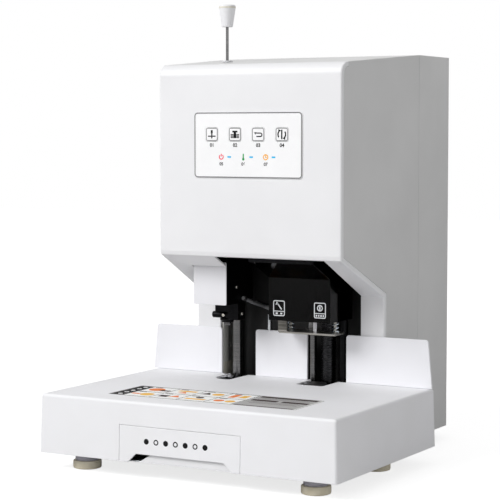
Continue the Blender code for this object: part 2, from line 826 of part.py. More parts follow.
def key_outline(centre_x, centre_z, grow=0):
    wide, high = key_width / 2 + grow, key_height / 2 + grow
    return rounded(rectangle((centre_x - wide, centre_z - high), (centre_x + wide, centre_z + high)),
                   key_corner_radius + grow)


def build_control_panel():
    panel_back = hood_y - fit_gap
    panel_front = panel_back - panel_sheet
    outline = rounded(rectangle((-panel_width / 2, panel_bottom_z),
                                (panel_width / 2, panel_bottom_z + panel_height)),
                      panel_corner_radius)
    panel = add("control_panel", prism(outline, "y", panel_front, panel_back), "panel_film")
    key_z = panel_bottom_z + key_row_rise
    board_front = hood_y + cover_wall + key_travel + switch_height + fit_gap
    switches = []
    for column, job in enumerate(("punch", "rivet", "return", "change")):
        key_x = key_row_offset + key_pitch * (column - 1.5)
        cut(panel,
            prism(key_outline(key_x, key_z, running_gap), "y", panel_front - cut_over,
                  panel_back + cut_over))
        back = hood_y + cover_wall
        add("key_" + job, prism(key_outline(key_x, key_z), "y", panel_front - key_proud, back),
            "panel_film",
            (key_x, panel_front, key_z))
        low = (key_x - switch_size / 2, board_front - switch_height, key_z - switch_size / 2)
        switches.append(box(low,
                            (low[0] + switch_size, board_front + board_sheet / 2, low[2] + switch_size)))

    strip_z = panel_bottom_z + strip_rise

    def strip_outline(grow):
        wide, high = strip_width / 2 + grow, strip_height / 2 + grow
        return rounded(rectangle((strip_offset - wide, strip_z - high),
                                 (strip_offset + wide, strip_z + high)),
                       strip_height / 3)

    cut(panel, prism(strip_outline(fit_gap), "y", panel_front - cut_over, panel_back + cut_over))
    add("indicator_strip", prism(strip_outline(0), "y", panel_front, panel_back), "clear_lens")

    board_z = panel_bottom_z + panel_height / 2
    board = add("control_board", box((-board_width / 2, board_front, board_z - board_height / 2),
                                     (board_width / 2, board_front + board_sheet,
                                      board_z + board_height / 2)),
                "green_board")
    join(board, *switches)
    for side in (-1, 1):
        for level in (-1, 1):
            centre = (side * (board_width / 2 - 2 * standoff_radius),
                      board_z + level * (board_height / 2 - 2 * standoff_radius))
            join(board, cylinder(centre, standoff_radius, hood_y + cover_wall + fit_gap,
                                 board_front + board_sheet / 2, "y", small_sides))


def build_frame():
    wide = frame_half_width
    channel = [(-wide, frame_front_y), (bracket_sheet - wide, frame_front_y),
               (bracket_sheet - wide, frame_rear_y - bracket_sheet),
               (wide - bracket_sheet, frame_rear_y - bracket_sheet),
               (wide - bracket_sheet, frame_front_y), (wide, frame_front_y), (wide, frame_rear_y),
               (-wide, frame_rear_y)]
    frame = add("main_frame", prism(channel, "z", column_bottom_z + bracket_sheet / 2, frame_top_z),
                "zinc_steel")
    floor_rear = rear_y - sheet - rear_corner_radius
    floor_line = [(column_y + cover_wall + fit_gap, column_bottom_z), (seam_y, column_bottom_z),
                  (floor_rear, column_bottom_z)]
    join(frame, flared(band(floor_line, 0, bracket_sheet), cover_wall + fit_gap))

    inside = wide - bracket_sheet - fit_gap
    front = fence_y - bed_front
    shoulder = column_y + cover_lip + fit_gap
    plan = [(-bed_half_width_left, front), (bed_half_width_right, front), (bed_half_width_right, shoulder),
            (inside, shoulder), (inside, frame_rear_y - bracket_sheet - fit_gap),
            (-inside, frame_rear_y - bracket_sheet - fit_gap), (-inside, shoulder),
            (-bed_half_width_left, shoulder)]
    bed = add("bed_plate", prism(plan, "z", bed_bottom_z, bed_z), "bare_steel")
    leg_low = foot_height + base_plate_sheet + fit_gap
    for edge, side in ((-bed_half_width_left, 1), (bed_half_width_right, -1)):
        join(bed, box((min(edge, edge + side * bed_leg), front, leg_low),
                      (max(edge, edge + side * bed_leg), column_y - 3 * fit_gap,
                       bed_z - bed_thickness / 2)))
    cut(bed,
        cylinder((drill_x, punch_y - pad_radius), pad_radius / 2, bed_bottom_z - cut_over,
                 bed_z + cut_over))

    bridge_side = wide - bracket_sheet - fit_gap
    bridge = add("top_mount_plate", box((-bridge_side, bridge_front_y, bridge_z),
                                        (bridge_side, frame_rear_y - bracket_sheet - fit_gap,
                                         bridge_z + bridge_thickness)), "bare_steel")
    holes = [((drill_screw_x, drill_screw_y), screw_journal_radius),
             ((rivet_screw_x, rivet_screw_y), screw_journal_radius),
             ((rivet_x, punch_y), rod_radius)]
    for centre, radius in holes:
        cut(bridge,
            cylinder(centre, radius + running_gap, bridge_z - cut_over,
                     bridge_z + bridge_thickness + cut_over,
                     sides=small_sides))

    side_left = opening_left_x - fit_gap
    side_right = opening_right_x - fit_gap
    back_low = bed_z + fit_gap
    back = rectangle((side_left, back_low), (side_right, recess_high_z))
    back_plate = add("recess_back_plate", prism(back, "y", recess_y, recess_y + recess_sheet),
                     "black_steel")
    wall_front = column_y + cover_wall + fit_gap
    wall_back = recess_y - fit_gap
    upper_front = hood_y + head_gate_y + cover_lip
    lining = [(wall_front, back_low), (wall_back, back_low), (wall_back, recess_high_z),
              (upper_front, recess_high_z),
              (upper_front, hood_bottom_z), (wall_front, slope_back_z + cover_lip)]
    left_wall = add("recess_left_plate", prism(lining, "x", side_left, side_left + recess_sheet),
                    "grey_steel")
    cut(left_wall, cylinder((punch_y + wall_hole_setback, table_z + wall_hole_rise), wall_hole_radius,
                            side_left - cut_over, side_left + recess_sheet + cut_over, "x", small_sides))
    right_front = hood_y + cover_lip + cover_wall
    inside_back = recess_y + recess_sheet / 2
    right_lining = [(wall_front, back_low), (inside_back, back_low), (inside_back, recess_high_z),
                    (right_front, recess_high_z), (right_front, hood_bottom_z + cover_lip),
                    (wall_front, slope_back_z + cover_lip)]
    join(back_plate, prism(right_lining, "x", side_right - recess_sheet, side_right))


def build_posts():
    low, high = bed_z + fit_gap, bridge_z - fit_gap
    posts = {"left_drill_post": ((drill_post_x[0], drill_post_y), drill_post_radius),
             "right_drill_post": ((drill_post_x[1], drill_post_y), drill_post_radius),
             "rivet_post": ((rivet_post_x, rivet_post_y), rivet_post_radius)}
    for name, (centre, radius) in posts.items():
        finish = "black_steel" if name == "right_drill_post" else "polished_steel"
        add(name, cylinder(centre, radius, low, high), finish, smooth=True)
    journal_top = bridge_z + bridge_thickness + fit_gap
    screws = {"drill": ((drill_screw_x, drill_screw_y), drill_screw_radius),
              "rivet": ((rivet_screw_x, rivet_screw_y), rivet_screw_radius)}
    for job, (centre, radius) in screws.items():
        add(job + "_lead_screw", turned(centre,
                                        [(0, low), (radius, low), (radius, high),
                                         (screw_journal_radius, high),
                                         (screw_journal_radius, journal_top), (0, journal_top)]),
            "black_steel", (*centre, low), smooth=True)
        half = lift_motor_width / 2
        body = rounded(rectangle((centre[0] - half, centre[1] - half),
                                 (centre[0] + half, centre[1] + half)),
                       lift_motor_chamfer)
        motor_low = journal_top + fit_gap
        motor = add(job + "_lift_motor", prism(body, "z", motor_low, motor_low + lift_motor_height),
                    "black_plastic")
        join(motor, cylinder(centre, motor_pilot_radius, motor_low + lift_motor_height / 2,
                             motor_low + lift_motor_height + motor_pilot_height))


def build_drill_head():
    head = joint_empty("drill_head", (drill_screw_x, drill_screw_y, carriage_z))
    tool = joint_empty("drill_tool", (drill_x, punch_y, carriage_z), head)
    origin = (drill_screw_x, drill_screw_y, carriage_z)
    plan = rounded(rectangle((carriage_left_x, carriage_front_y), (carriage_right_x, carriage_rear_y)),
                   carriage_corner_radius)
    carriage = add("drill_carriage", prism(plan, "z", carriage_z, carriage_top_z), "aluminium", origin,
                   head)
    boss_low = carriage_z - carriage_boss_height
    bores = [((x, drill_post_y), drill_post_radius) for x in drill_post_x]
    for centre, radius in bores:
        join(carriage,
             cylinder(centre, radius + carriage_boss_wall, boss_low, carriage_z + carriage_thickness / 2))
    quill_top = carriage_top_z + quill_height
    join(carriage,
         cylinder((drill_x, punch_y), quill_radius, carriage_top_z - carriage_thickness / 2, quill_top))
    bores += [((drill_screw_x, drill_screw_y), drill_screw_radius), ((drill_x, punch_y), spindle_radius)]
    bores += [((x, pin_y), pin_radius) for x in pin_x]
    for centre, radius in bores:
        cut(carriage, cylinder(centre, radius + running_gap, boss_low - cut_over, quill_top + cut_over))

    bit_top = chuck_bottom_z + chuck_hold
    motor_low = quill_top + fit_gap
    spindle_top = motor_low + drill_motor_length / 3
    nose = [(0, bit_top + fit_gap), (bit_radius + fit_gap, bit_top + fit_gap),
            (bit_radius + fit_gap, chuck_bottom_z),
            (chuck_neck_radius, chuck_bottom_z), (chuck_radius, chuck_bottom_z + chuck_length / 3),
            (chuck_radius, carriage_z - fit_gap), (spindle_radius, carriage_z - fit_gap),
            (spindle_radius, spindle_top), (0, spindle_top)]
    add("drill_spindle", turned((drill_x, punch_y), nose), "black_steel",
        (drill_x, punch_y, chuck_bottom_z), tool,
        smooth=True)
    add("drill_bit", turned((drill_x, punch_y),
                            [(bit_bore_radius, bit_tip_z), (bit_radius, bit_tip_z + bit_radius / 2),
                             (bit_radius, bit_top), (bit_bore_radius, bit_top),
                             (bit_bore_radius, bit_tip_z)]),
        "polished_steel", (drill_x, punch_y, bit_tip_z), tool, smooth=True)

    motor_top = motor_low + drill_motor_length
    motor = add("drill_motor", turned((drill_x, punch_y), [(0, motor_low), (drill_motor_radius, motor_low),
                                                           (drill_motor_radius, motor_top),
                                                           (motor_cap_radius, motor_top),
                                                           (motor_cap_radius, motor_top + motor_cap_height),
                                                           (0, motor_top + motor_cap_height)]),
                "grey_steel", (drill_x, punch_y, motor_low), head, smooth=True)
    cut(motor, cylinder((drill_x, punch_y), spindle_radius + running_gap, motor_low - cut_over,
                        spindle_top + running_gap))
    laser_x = drill_x + laser_offset_x
    laser_top = carriage_z - fit_gap
    add("laser_module", cylinder((laser_x, punch_y), laser_radius, laser_top - laser_length, laser_top,
                                 sides=small_sides), "black_steel", (laser_x, punch_y, laser_top), head,
        smooth=True)
    build_press_plate(head)


def spring_curve(x, y, low, high):
    """Points of one press spring: a straight lead, the curls, and a straight lead again."""
    steps = spring_curls * curl_points
    lead = 2 * spring_wire
    climb = high - low - 2 * lead
    points = [(x + spring_radius, y, low)]
    for step in range(steps + 1):
        angle = 2 * math.pi * step / curl_points
        points.append((x + spring_radius * math.cos(angle), y + spring_radius * math.sin(angle),
                       low + lead + climb * step / steps))
    points.append((x + spring_radius, y, high))
    return points


def report_spring_gap(points):
    """Print the least gap between neighbouring curls of a spring, wire to wire."""
    gaps = [(Vector(points[index]) - Vector(points[index + curl_points])).length
            for index in range(1, len(points) - curl_points - 1)]
    print(f"least gap between curls: {min(gaps) - 2 * spring_wire:.5f} m")


def build_press_plate(head):
    press = joint_empty("press_group", (drill_x, pin_y, plate_z), head)
    origin = (drill_x, pin_y, plate_z)
    post_x = drill_post_x[0]
    top = plate_z + plate_thickness
    plan = rounded(rectangle((plate_left_x, plate_front_y), (plate_right_x, plate_rear_y)),
                   plate_corner_radius)
    plate = add("press_plate", prism(plan, "z", plate_z, top), "bare_steel", origin, press)
    tongue_low_x = right_slot_x[0] + running_gap
    ring_radius = drill_post_radius + running_gap + tongue_ring_wall
    join(plate, box((tongue_low_x, plate_rear_y - plate_corner_radius, plate_z),
                    (tongue_low_x + tongue_width, drill_post_y, top)))
    join(plate, cylinder((post_x, drill_post_y), ring_radius, plate_z, top))
    cut(plate,
        cylinder((post_x, drill_post_y), drill_post_radius + running_gap, plate_z - cut_over,
                 top + cut_over))
    cut(plate, cylinder((drill_x, punch_y), bit_hole_radius, plate_z - cut_over, top + cut_over))
    join(plate, box((plate_left_x, plate_front_y, plate_z + plate_thickness / 2),
                    (plate_left_x + tab_width, plate_front_y + plate_thickness, top + tab_height)))
    pin_top = carriage_top_z + fit_gap + pin_head_height
    for x in pin_x:
        join(plate, turned((x, pin_y), [(0, plate_z + plate_thickness / 2),
                                        (pin_radius, plate_z + plate_thickness / 2),
                                        (pin_radius, carriage_top_z + fit_gap),
                                        (pin_head_radius, carriage_top_z + fit_gap),
                                        (pin_head_radius, pin_top),
                                        (0, pin_top)], small_sides))

    low, high = top + fit_gap, carriage_z - fit_gap
    for x, hand in zip(pin_x, ("left", "right")):
        points = spring_curve(x, pin_y, low, high)
        report_spring_gap(points)
        add_wire(hand + "_press_spring", points, spring_wire, 1, "zinc_steel", (x, pin_y, carriage_z), head)


def build_table_tools():
    add("cutting_pad", cylinder((drill_x, punch_y), pad_radius, bed_z + fit_gap, table_z - fit_gap),
        "black_plastic",
        smooth=True)
    base_low = bed_z + fit_gap
    shoulder = lower_die_top_z - lower_die_tip_height
    collar_top = table_z + fit_gap
    collar_low = collar_top - lower_die_collar_height
    add("lower_die", turned((rivet_x, punch_y),
                            [(0, base_low), (lower_die_radius, base_low), (lower_die_radius, shoulder),
                             (lower_die_tip_radius, shoulder), (lower_die_tip_radius, collar_low),
                             (lower_die_collar_radius, collar_low), (lower_die_collar_radius, collar_top),
                             (lower_die_tip_radius, collar_top), (lower_die_tip_radius, lower_die_top_z),
                             (0, lower_die_top_z)]), "bare_steel", smooth=True)


def build_rivet_head():
    head = joint_empty("rivet_head", (rivet_screw_x, rivet_screw_y, head_z))
    origin = (rivet_screw_x, rivet_screw_y, head_z)
    cover_back = head_cover_front_y + head_cover_sheet
    right_x = head_cover_left_x + head_cover_width
    block_front = cover_back + fit_gap
    block = box((head_cover_left_x + head_cover_sheet, block_front, head_z),
                (right_x, head_back_y, head_top_z))
    carriage = add("rivet_carriage", block, "black_steel", origin, head)
    join(carriage, box((head_arm_x[0], head_back_y - cut_over, head_z),
                       (head_arm_x[1], head_arm_rear_y, head_top_z)))
    join(carriage, box((right_x - head_leg_width, punch_y - head_leg_depth, head_z - head_leg_drop),
                       (right_x, punch_y, head_z + cut_over)))
    bores = [((rivet_post_x, rivet_post_y), rivet_post_radius),
             ((rivet_screw_x, rivet_screw_y), rivet_screw_radius),
             ((rivet_x, punch_y), rod_radius)]
    for centre, radius in bores:
        cut(carriage, cylinder(centre, radius + running_gap, head_z - cut_over, head_top_z + cut_over))
    outline = rounded(rectangle((head_cover_left_x, head_z), (right_x, head_z + head_cover_height)),
                      head_cover_radius)
    add("head_cover", prism(outline, "y", head_cover_front_y, cover_back), "white_paint",
        (rivet_x, head_cover_front_y, head_z), head)

    holder_right = right_x - head_leg_width - fit_gap
    holder = add("upper_die_holder", box((holder_left_x, punch_y - holder_depth / 2, head_z - holder_drop),
                                         (holder_right, punch_y + holder_depth / 2, head_z - fit_gap)),
                 "black_steel", (rivet_x, punch_y, head_z), head)
    tip_top = rivet_tip_z + die_tip_height
    collar_top = tip_top + die_collar_height
    cross_z = collar_top + fit_gap + cross_radius
    join(holder, cylinder((punch_y, cross_z), cross_radius, cross_left_x, holder_right, "x", small_sides))
    shank_top = collar_top + die_shank_height
    bore = rod_radius + running_gap
    cut(holder,
        cylinder((rivet_x, punch_y), bore, collar_top - cut_over, head_z + cut_over, sides=small_sides),
        cylinder((rivet_x, punch_y), die_shank_radius + fit_gap, collar_top - cut_over,
                 shank_top + fit_gap))
    add("upper_die", turned((rivet_x, punch_y), [(bore, rivet_tip_z), (die_tip_radius, rivet_tip_z),
                                                 (die_tip_radius, tip_top), (die_collar_radius, tip_top),
                                                 (die_collar_radius, collar_top),
                                                 (die_shank_radius, collar_top),
                                                 (die_shank_radius, shank_top), (bore, shank_top),
                                                 (bore, rivet_tip_z)]),
        "polished_steel", (rivet_x, punch_y, rivet_tip_z), head, smooth=True)


def build_heater_lead():
    """Short lead clipped along the back of the recess."""
    depth = recess_y - fit_gap - lead_radius
    start = Vector((head_arm_x[1] + 2 * lead_radius, depth, head_z - 2 * lead_radius))
    end = Vector((smoked_left_x - 4 * lead_radius, depth, head_z - 8 * lead_radius))
    points = []
    for step in range(2 * arc_steps + 1):
        share = step / (2 * arc_steps)
        place = start.lerp(end, share)
        place.z -= lead_radius * math.sin(math.pi * share)
        points.append(place)
    add_wire("heater_lead", points, lead_radius, 2, "black_rubber")


def build_rod():
    centre = (rivet_x, punch_y)
    slide = joint_empty("rod_slide", (*centre, knob_bottom_z))
    rod_top = knob_bottom_z + knob_hold
    add("tube_rod", cylinder(centre, rod_radius, rod_low_z, rod_top, sides=small_sides), "bare_steel",
        (*centre, knob_bottom_z), slide, smooth=True)
    knob_top = knob_bottom_z + knob_height
    knob = add("rod_knob", turned(centre, [(0, knob_bottom_z), (knob_bottom_radius, knob_bottom_z),
                                           (knob_top_radius, knob_top - knob_chamfer * 2),
                                           (knob_top_radius, knob_top - knob_chamfer),
                                           (knob_top_radius - knob_chamfer, knob_top), (0, knob_top)]),
               "white_abs", (*centre, knob_bottom_z), slide, smooth=True)
    cut(knob,
        cylinder(centre, rod_radius + fit_gap, knob_bottom_z - cut_over, rod_top + fit_gap,
                 sides=small_sides))
    seat = top_z(punch_y + bushing_flange_radius) + fit_gap
    bore = rod_radius + running_gap
    add("rod_bushing", turned(centre, [(bore, seat - bushing_length),
                                       (bushing_radius, seat - bushing_length),
                                       (bushing_radius, seat), (bushing_flange_radius, seat),
                                       (bushing_flange_radius, seat + bushing_flange),
                                       (bore, seat + bushing_flange),
                                       (bore, seat - bushing_length)]), "grey_plastic", smooth=True)


def build_smoked_cover():
    """Bent pane, upright and then sloped forward to the hood's front wall, with a wall on its right."""
    slope_run = Vector((hood_y - column_y, hood_bottom_z - slope_back_z)).normalized()
    bend = (smoked_y, table_z + smoked_bend_rise)
    reach = hood_y + cover_wall + fit_gap
    front = (reach, bend[1] + (reach - bend[0]) * slope_run.y / slope_run.x)
    line = [(smoked_y, table_z + smoked_bottom_rise), bend, front]
    cover = add("smoked_cover", prism(band(line, 0, -smoked_sheet), "x", smoked_left_x, smoked_right_x),
                "smoked_acrylic")
    wall_back = punch_y + smoked_wall_setback
    wall = [line[0], (wall_back, line[0][1]), (wall_back, recess_high_z), (reach, recess_high_z), front,
            bend]
    join(cover, prism(wall, "x", smoked_right_x - smoked_sheet, smoked_right_x))


def build_power():
    back = frame_rear_y + fit_gap
    low = floor_top_z + supply_rise
    add("power_supply", box((-supply_width / 2, back, low),
                            (supply_width / 2, back + supply_depth, low + supply_height)),
        "zinc_steel")
    face = rear_y - sheet - fit_gap
    flange_top = rocker_z + rocker_height / 2 + rocker_frame + inlet_flange
    flange = rectangle((inlet_x - inlet_width / 2, inlet_z - inlet_height / 2),
                       (inlet_x + inlet_width / 2, flange_top))
    inlet = add("power_inlet", prism(flange, "y", face - inlet_flange, face), "black_plastic")
    body_x, body_z = inlet_body_width / 2, inlet_body_height / 2
    join(inlet, box((inlet_x - body_x, face - inlet_body_depth, inlet_z - body_z),
                    (inlet_x + body_x, rear_y, inlet_z + body_z)))
    socket_x, socket_z = body_x - inlet_socket_wall, body_z - inlet_socket_wall
    socket_back = face - inlet_socket_depth
    cut(inlet, box((inlet_x - socket_x, socket_back, inlet_z - socket_z),
                   (inlet_x + socket_x, rear_y + cut_over, inlet_z + socket_z)))
    for column in (-1, 0, 1):
        pin_middle = inlet_x + column * inlet_pin_pitch
        join(inlet, box((pin_middle - inlet_pin_width / 2, socket_back - inlet_socket_wall / 2,
                         inlet_z - inlet_pin_height / 2),
                        (pin_middle + inlet_pin_width / 2, face - inlet_flange,
                         inlet_z + inlet_pin_height / 2)))
    wide, high = rocker_width / 2, rocker_height / 2
    reach = high - running_gap
    crown = rocker_depth + math.tan(rocker_turn) * reach
    pivot_y = rear_y - fit_gap - crown * math.cos(rocker_turn) - reach * math.sin(rocker_turn)
    shell_back = pivot_y - rocker_body_depth
    join(inlet, box((inlet_x - wide - rocker_frame + fit_gap, shell_back,
                     rocker_z - high - rocker_frame + fit_gap),
                    (inlet_x + wide + rocker_frame - fit_gap, rear_y,
                     rocker_z + high + rocker_frame - fit_gap)))
    well = rocker_frame / 2
    cut(inlet, box((inlet_x - wide - running_gap, shell_back + well, rocker_z - high - well),
                   (inlet_x + wide + running_gap, rear_y + cut_over, rocker_z + high + well)))
    pivot = (inlet_x, pivot_y, rocker_z)
    outline = [(-rocker_depth, -reach / 2), (-rocker_depth, reach / 2), (0, reach), (crown, reach),
               (rocker_depth, 0), (crown, -reach), (0, -reach)]
    mesh = prism(outline, "x", -wide, wide)
    bmesh.ops.rotate(mesh, verts=mesh.verts, cent=(0, 0, 0), matrix=Matrix.Rotation(rocker_turn, 3, "X"))
    bmesh.ops.translate(mesh, verts=mesh.verts, vec=Vector(pivot))
    add("power_rocker", mesh, "black_plastic", pivot)


def main():
    for existing in list(bpy.data.objects):
        bpy.data.objects.remove(existing, do_unlink=True)
    build_base()
    build_drawer()
    build_fence()
    build_housing()
    build_control_panel()
    build_frame()
    build_posts()
    build_drill_head()
    build_table_tools()
    build_rivet_head()
    build_heater_lead()
    build_rod()
    build_smoked_cover()
    build_power()
    nodes = [item for item in bpy.data.objects if item.type in {"MESH", "CURVE"} and not item.hide_render]
    print(f"sub-parts: {len(nodes)}")


main()
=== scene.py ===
import json
import math

import bmesh
import bpy
from mathutils import Euler, Matrix, Vector

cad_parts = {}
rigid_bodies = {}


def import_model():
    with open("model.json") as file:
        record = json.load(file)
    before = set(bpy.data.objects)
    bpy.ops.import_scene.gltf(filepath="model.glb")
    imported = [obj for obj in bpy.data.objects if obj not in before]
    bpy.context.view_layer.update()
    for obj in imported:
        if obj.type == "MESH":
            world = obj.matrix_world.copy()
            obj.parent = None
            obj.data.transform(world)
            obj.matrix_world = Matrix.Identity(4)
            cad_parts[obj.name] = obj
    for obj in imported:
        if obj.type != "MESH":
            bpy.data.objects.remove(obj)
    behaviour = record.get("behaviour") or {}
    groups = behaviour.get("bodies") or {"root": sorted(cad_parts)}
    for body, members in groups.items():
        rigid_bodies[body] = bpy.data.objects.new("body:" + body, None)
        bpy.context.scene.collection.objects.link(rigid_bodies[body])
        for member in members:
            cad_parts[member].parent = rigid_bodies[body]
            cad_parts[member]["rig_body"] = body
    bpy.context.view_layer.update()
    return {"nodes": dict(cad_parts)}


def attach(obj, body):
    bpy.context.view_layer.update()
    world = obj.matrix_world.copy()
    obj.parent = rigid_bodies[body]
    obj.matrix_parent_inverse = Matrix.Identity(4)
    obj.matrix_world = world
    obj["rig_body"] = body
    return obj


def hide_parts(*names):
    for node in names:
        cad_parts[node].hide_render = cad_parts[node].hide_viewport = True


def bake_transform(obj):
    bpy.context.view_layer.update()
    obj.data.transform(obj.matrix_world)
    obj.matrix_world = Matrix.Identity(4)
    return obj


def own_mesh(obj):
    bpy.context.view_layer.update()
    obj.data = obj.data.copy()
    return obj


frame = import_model()
nodes = frame["nodes"]
scene = bpy.context.scene
print("frame loaded:", len(nodes), "nodes")

# Places and sizes are in mm, unless a note says metres
view = {
    "place": (1.1056, -2.0345, 0.4334),   # metres
    "lowered": 3.8675,            # degrees that the camera looks down
    "turned": 29.3355,            # degrees round to the right of the front
    "lens": 124.25,
    "sensor": 36,
}

light = {
    "sky": 0.46,                  # soft light from all round, at the horizon
    "overhead": 0.32,             # and straight above
    "backdrop": 1.0,              # what the camera, metal and glass see of the background
    "aim": (0, 0, 0.25),          # metres, the point that both lamps face
    "floorSize": 12.0,            # metres
    "floorColour": "c2c2c2",
    "floorTones": ("c0c0c0", "c4c4c4"),
    "floorPatch": 400,
    "floorGlow": 0.76,
}

# degrees round from the front, degrees up, metres away, metres across, watts
lamps = {
    "keyLamp": {"round": -33, "up": 36, "away": 5.0, "across": 2.4, "power": 174},
    "fillLamp": {"round": 62, "up": 9, "away": 3.2, "across": 2.2, "power": 13},
}


def linear(colour):  # sRGB hex to the renderer's own linear values
    parts = [int(colour[start:start + 2], 16) / 255 for start in (0, 2, 4)]
    return [part / 12.92 if part <= 0.04045 else ((part + 0.055) / 1.055) ** 2.4 for part in parts] + [1]


def addNode(tree, kind, settings=None, links=None):  # a shader node with its settings and links
    node = tree.nodes.new("ShaderNode" + kind)
    for key, value in (settings or {}).items():
        if key in node.inputs:
            node.inputs[key].default_value = value
        else:
            setattr(node, key, value)
    for key, source in (links or {}).items():
        tree.links.new(source, node.inputs[key])
    return node


def startMaterial(name, colour, roughness, metallic=0.0, settings=None):
    material = bpy.data.materials.new(name)
    material.use_nodes = True
    tree = material.node_tree
    shader = tree.nodes["Principled BSDF"]
    shader.inputs["Base Color"].default_value = linear(colour)
    shader.inputs["Roughness"].default_value = roughness
    shader.inputs["Metallic"].default_value = metallic
    for socket, value in (settings or {}).items():
        shader.inputs[socket].default_value = value
    place = addNode(tree, "TexCoord").outputs["Object"]
    return material, tree, shader, place


def twoTone(tree, shader, pattern, dark, pale):  # lets the colour follow a pattern from dark to pale
    ramp = addNode(tree, "ValToRGB", links={"Fac": pattern.outputs["Fac"]})
    for stop, position, colour in zip(ramp.color_ramp.elements, (0.35, 0.65), (dark, pale)):
        stop.position = position
        stop.color = linear(colour)
    tree.links.new(ramp.outputs["Color"], shader.inputs["Base Color"])


def mottle(tree, shader, place, dark, pale, size):  # slow drift of the colour, in patches of this size
    noise = addNode(tree, "TexNoise", {"Scale": 1000 / size, "Detail": 3.0}, {"Vector": place})
    twoTone(tree, shader, noise, dark, pale)


def relief(tree, shader, place, size, depth, detail=2.0):  # fine waves in a skin
    noise = addNode(tree, "TexNoise", {"Scale": 1000 / size, "Detail": detail}, {"Vector": place})
    bump = addNode(tree, "Bump", {"Distance": depth / 1000}, {"Height": noise.outputs["Fac"]})
    tree.links.new(bump.outputs["Normal"], shader.inputs["Normal"])


def shineRange(tree, shader, place, low, high, size, stretch=(1, 1, 1)):  # uneven shine
    mapping = addNode(tree, "Mapping", {"Scale": stretch}, {"Vector": place})
    noise = addNode(tree, "TexNoise", {"Scale": 1000 / size, "Detail": 4.0},
                    {"Vector": mapping.outputs["Vector"]})
    span = addNode(tree, "MapRange", {"From Min": 0.3, "From Max": 0.7, "To Min": low, "To Max": high},
                   {"Value": noise.outputs["Fac"]})
    tree.links.new(span.outputs["Result"], shader.inputs["Roughness"])
    return noise


# Dark and pale tone, least and most roughness, then the width and depth of the grain
mouldedPlastics = {
    # injection-moulded ABS of the covers: satin, with a fine spark-eroded grain that is drawn
    # several times as wide as it is, so that it shows
    "whiteMouldedAbs": ("eaeaec", "eeeef0", 0.44, 0.52, 0.9, 0.012),
    # base, drawer and knob have a coarser grain, so their edges shine less
    "baseMouldedAbs": ("eeeef0", "f2f2f5", 0.60, 0.70, 1.1, 0.02),
    # the knob's rim, in a warmer ABS
    "creamAbs": ("dcd8cc", "e2ded2", 0.42, 0.5, 0.9, 0.012),
    # glass-filled nylon of motors and inlet: dull black, with a deeper grain
    "blackNylon": ("121213", "19191b", 0.44, 0.58, 0.8, 0.03),
    # turned acetal of the pad: smoother, with a soft gleam
    "blackAcetal": ("101011", "161617", 0.34, 0.46, 1.2, 0.01),
}


def mouldedPlastic(name, dark, pale, low, high, grain, depth):
    material, tree, shader, place = startMaterial(name, pale, 0.4, settings={"IOR": 1.53})
    mottle(tree, shader, place, dark, pale, size=110)
    relief(tree, shader, place, grain, depth)
    shineRange(tree, shader, place, low, high, size=45)
    return material


# Dark and pale tone, least and most roughness, then the width and depth of the waves
powderCoats = {
    # polyester powder baked on folded steel: satin, with the shallow waves of orange peel
    "greyPowderCoat": ("d3d3d3", "d9d9d9", 0.40, 0.50, 2.4, 0.06),
    "whitePowderCoat": ("efeff3", "f4f4f8", 0.34, 0.44, 2.0, 0.04),
    "headPowderCoat": ("e4e4e8", "eaeaee", 0.34, 0.44, 2.0, 0.04),
    "blackPowderCoat": ("0b0b0c", "121214", 0.46, 0.60, 1.6, 0.06),
    "darkGreyPowderCoat": ("8c8c89", "969693", 0.42, 0.54, 1.8, 0.06),
    # the linings' fold and their bracket are coloured pale: painted light, standing in for light that the
    # recess keeps off them
    "foldCoatPaintedLight": ("cfcfca", "dededa", 0.36, 0.5, 1.8, 0.04),
    "bracketCoatPaintedLight": ("d2cec2", "e2ded2", 0.34, 0.46, 1.8, 0.04),
    # baked enamel on the drawn can of the drill's motor
    "motorCanPaint": ("4a4b4e", "56575a", 0.36, 0.5, 1.6, 0.04),
}


def powderCoat(name, dark, pale, low, high, wave, depth):
    material, tree, shader, place = startMaterial(name, pale, 0.45, settings={"IOR": 1.5})
    mottle(tree, shader, place, dark, pale, size=140)
    relief(tree, shader, place, wave, depth, detail=1.0)
    shineRange(tree, shader, place, low, high, size=30)
    return material


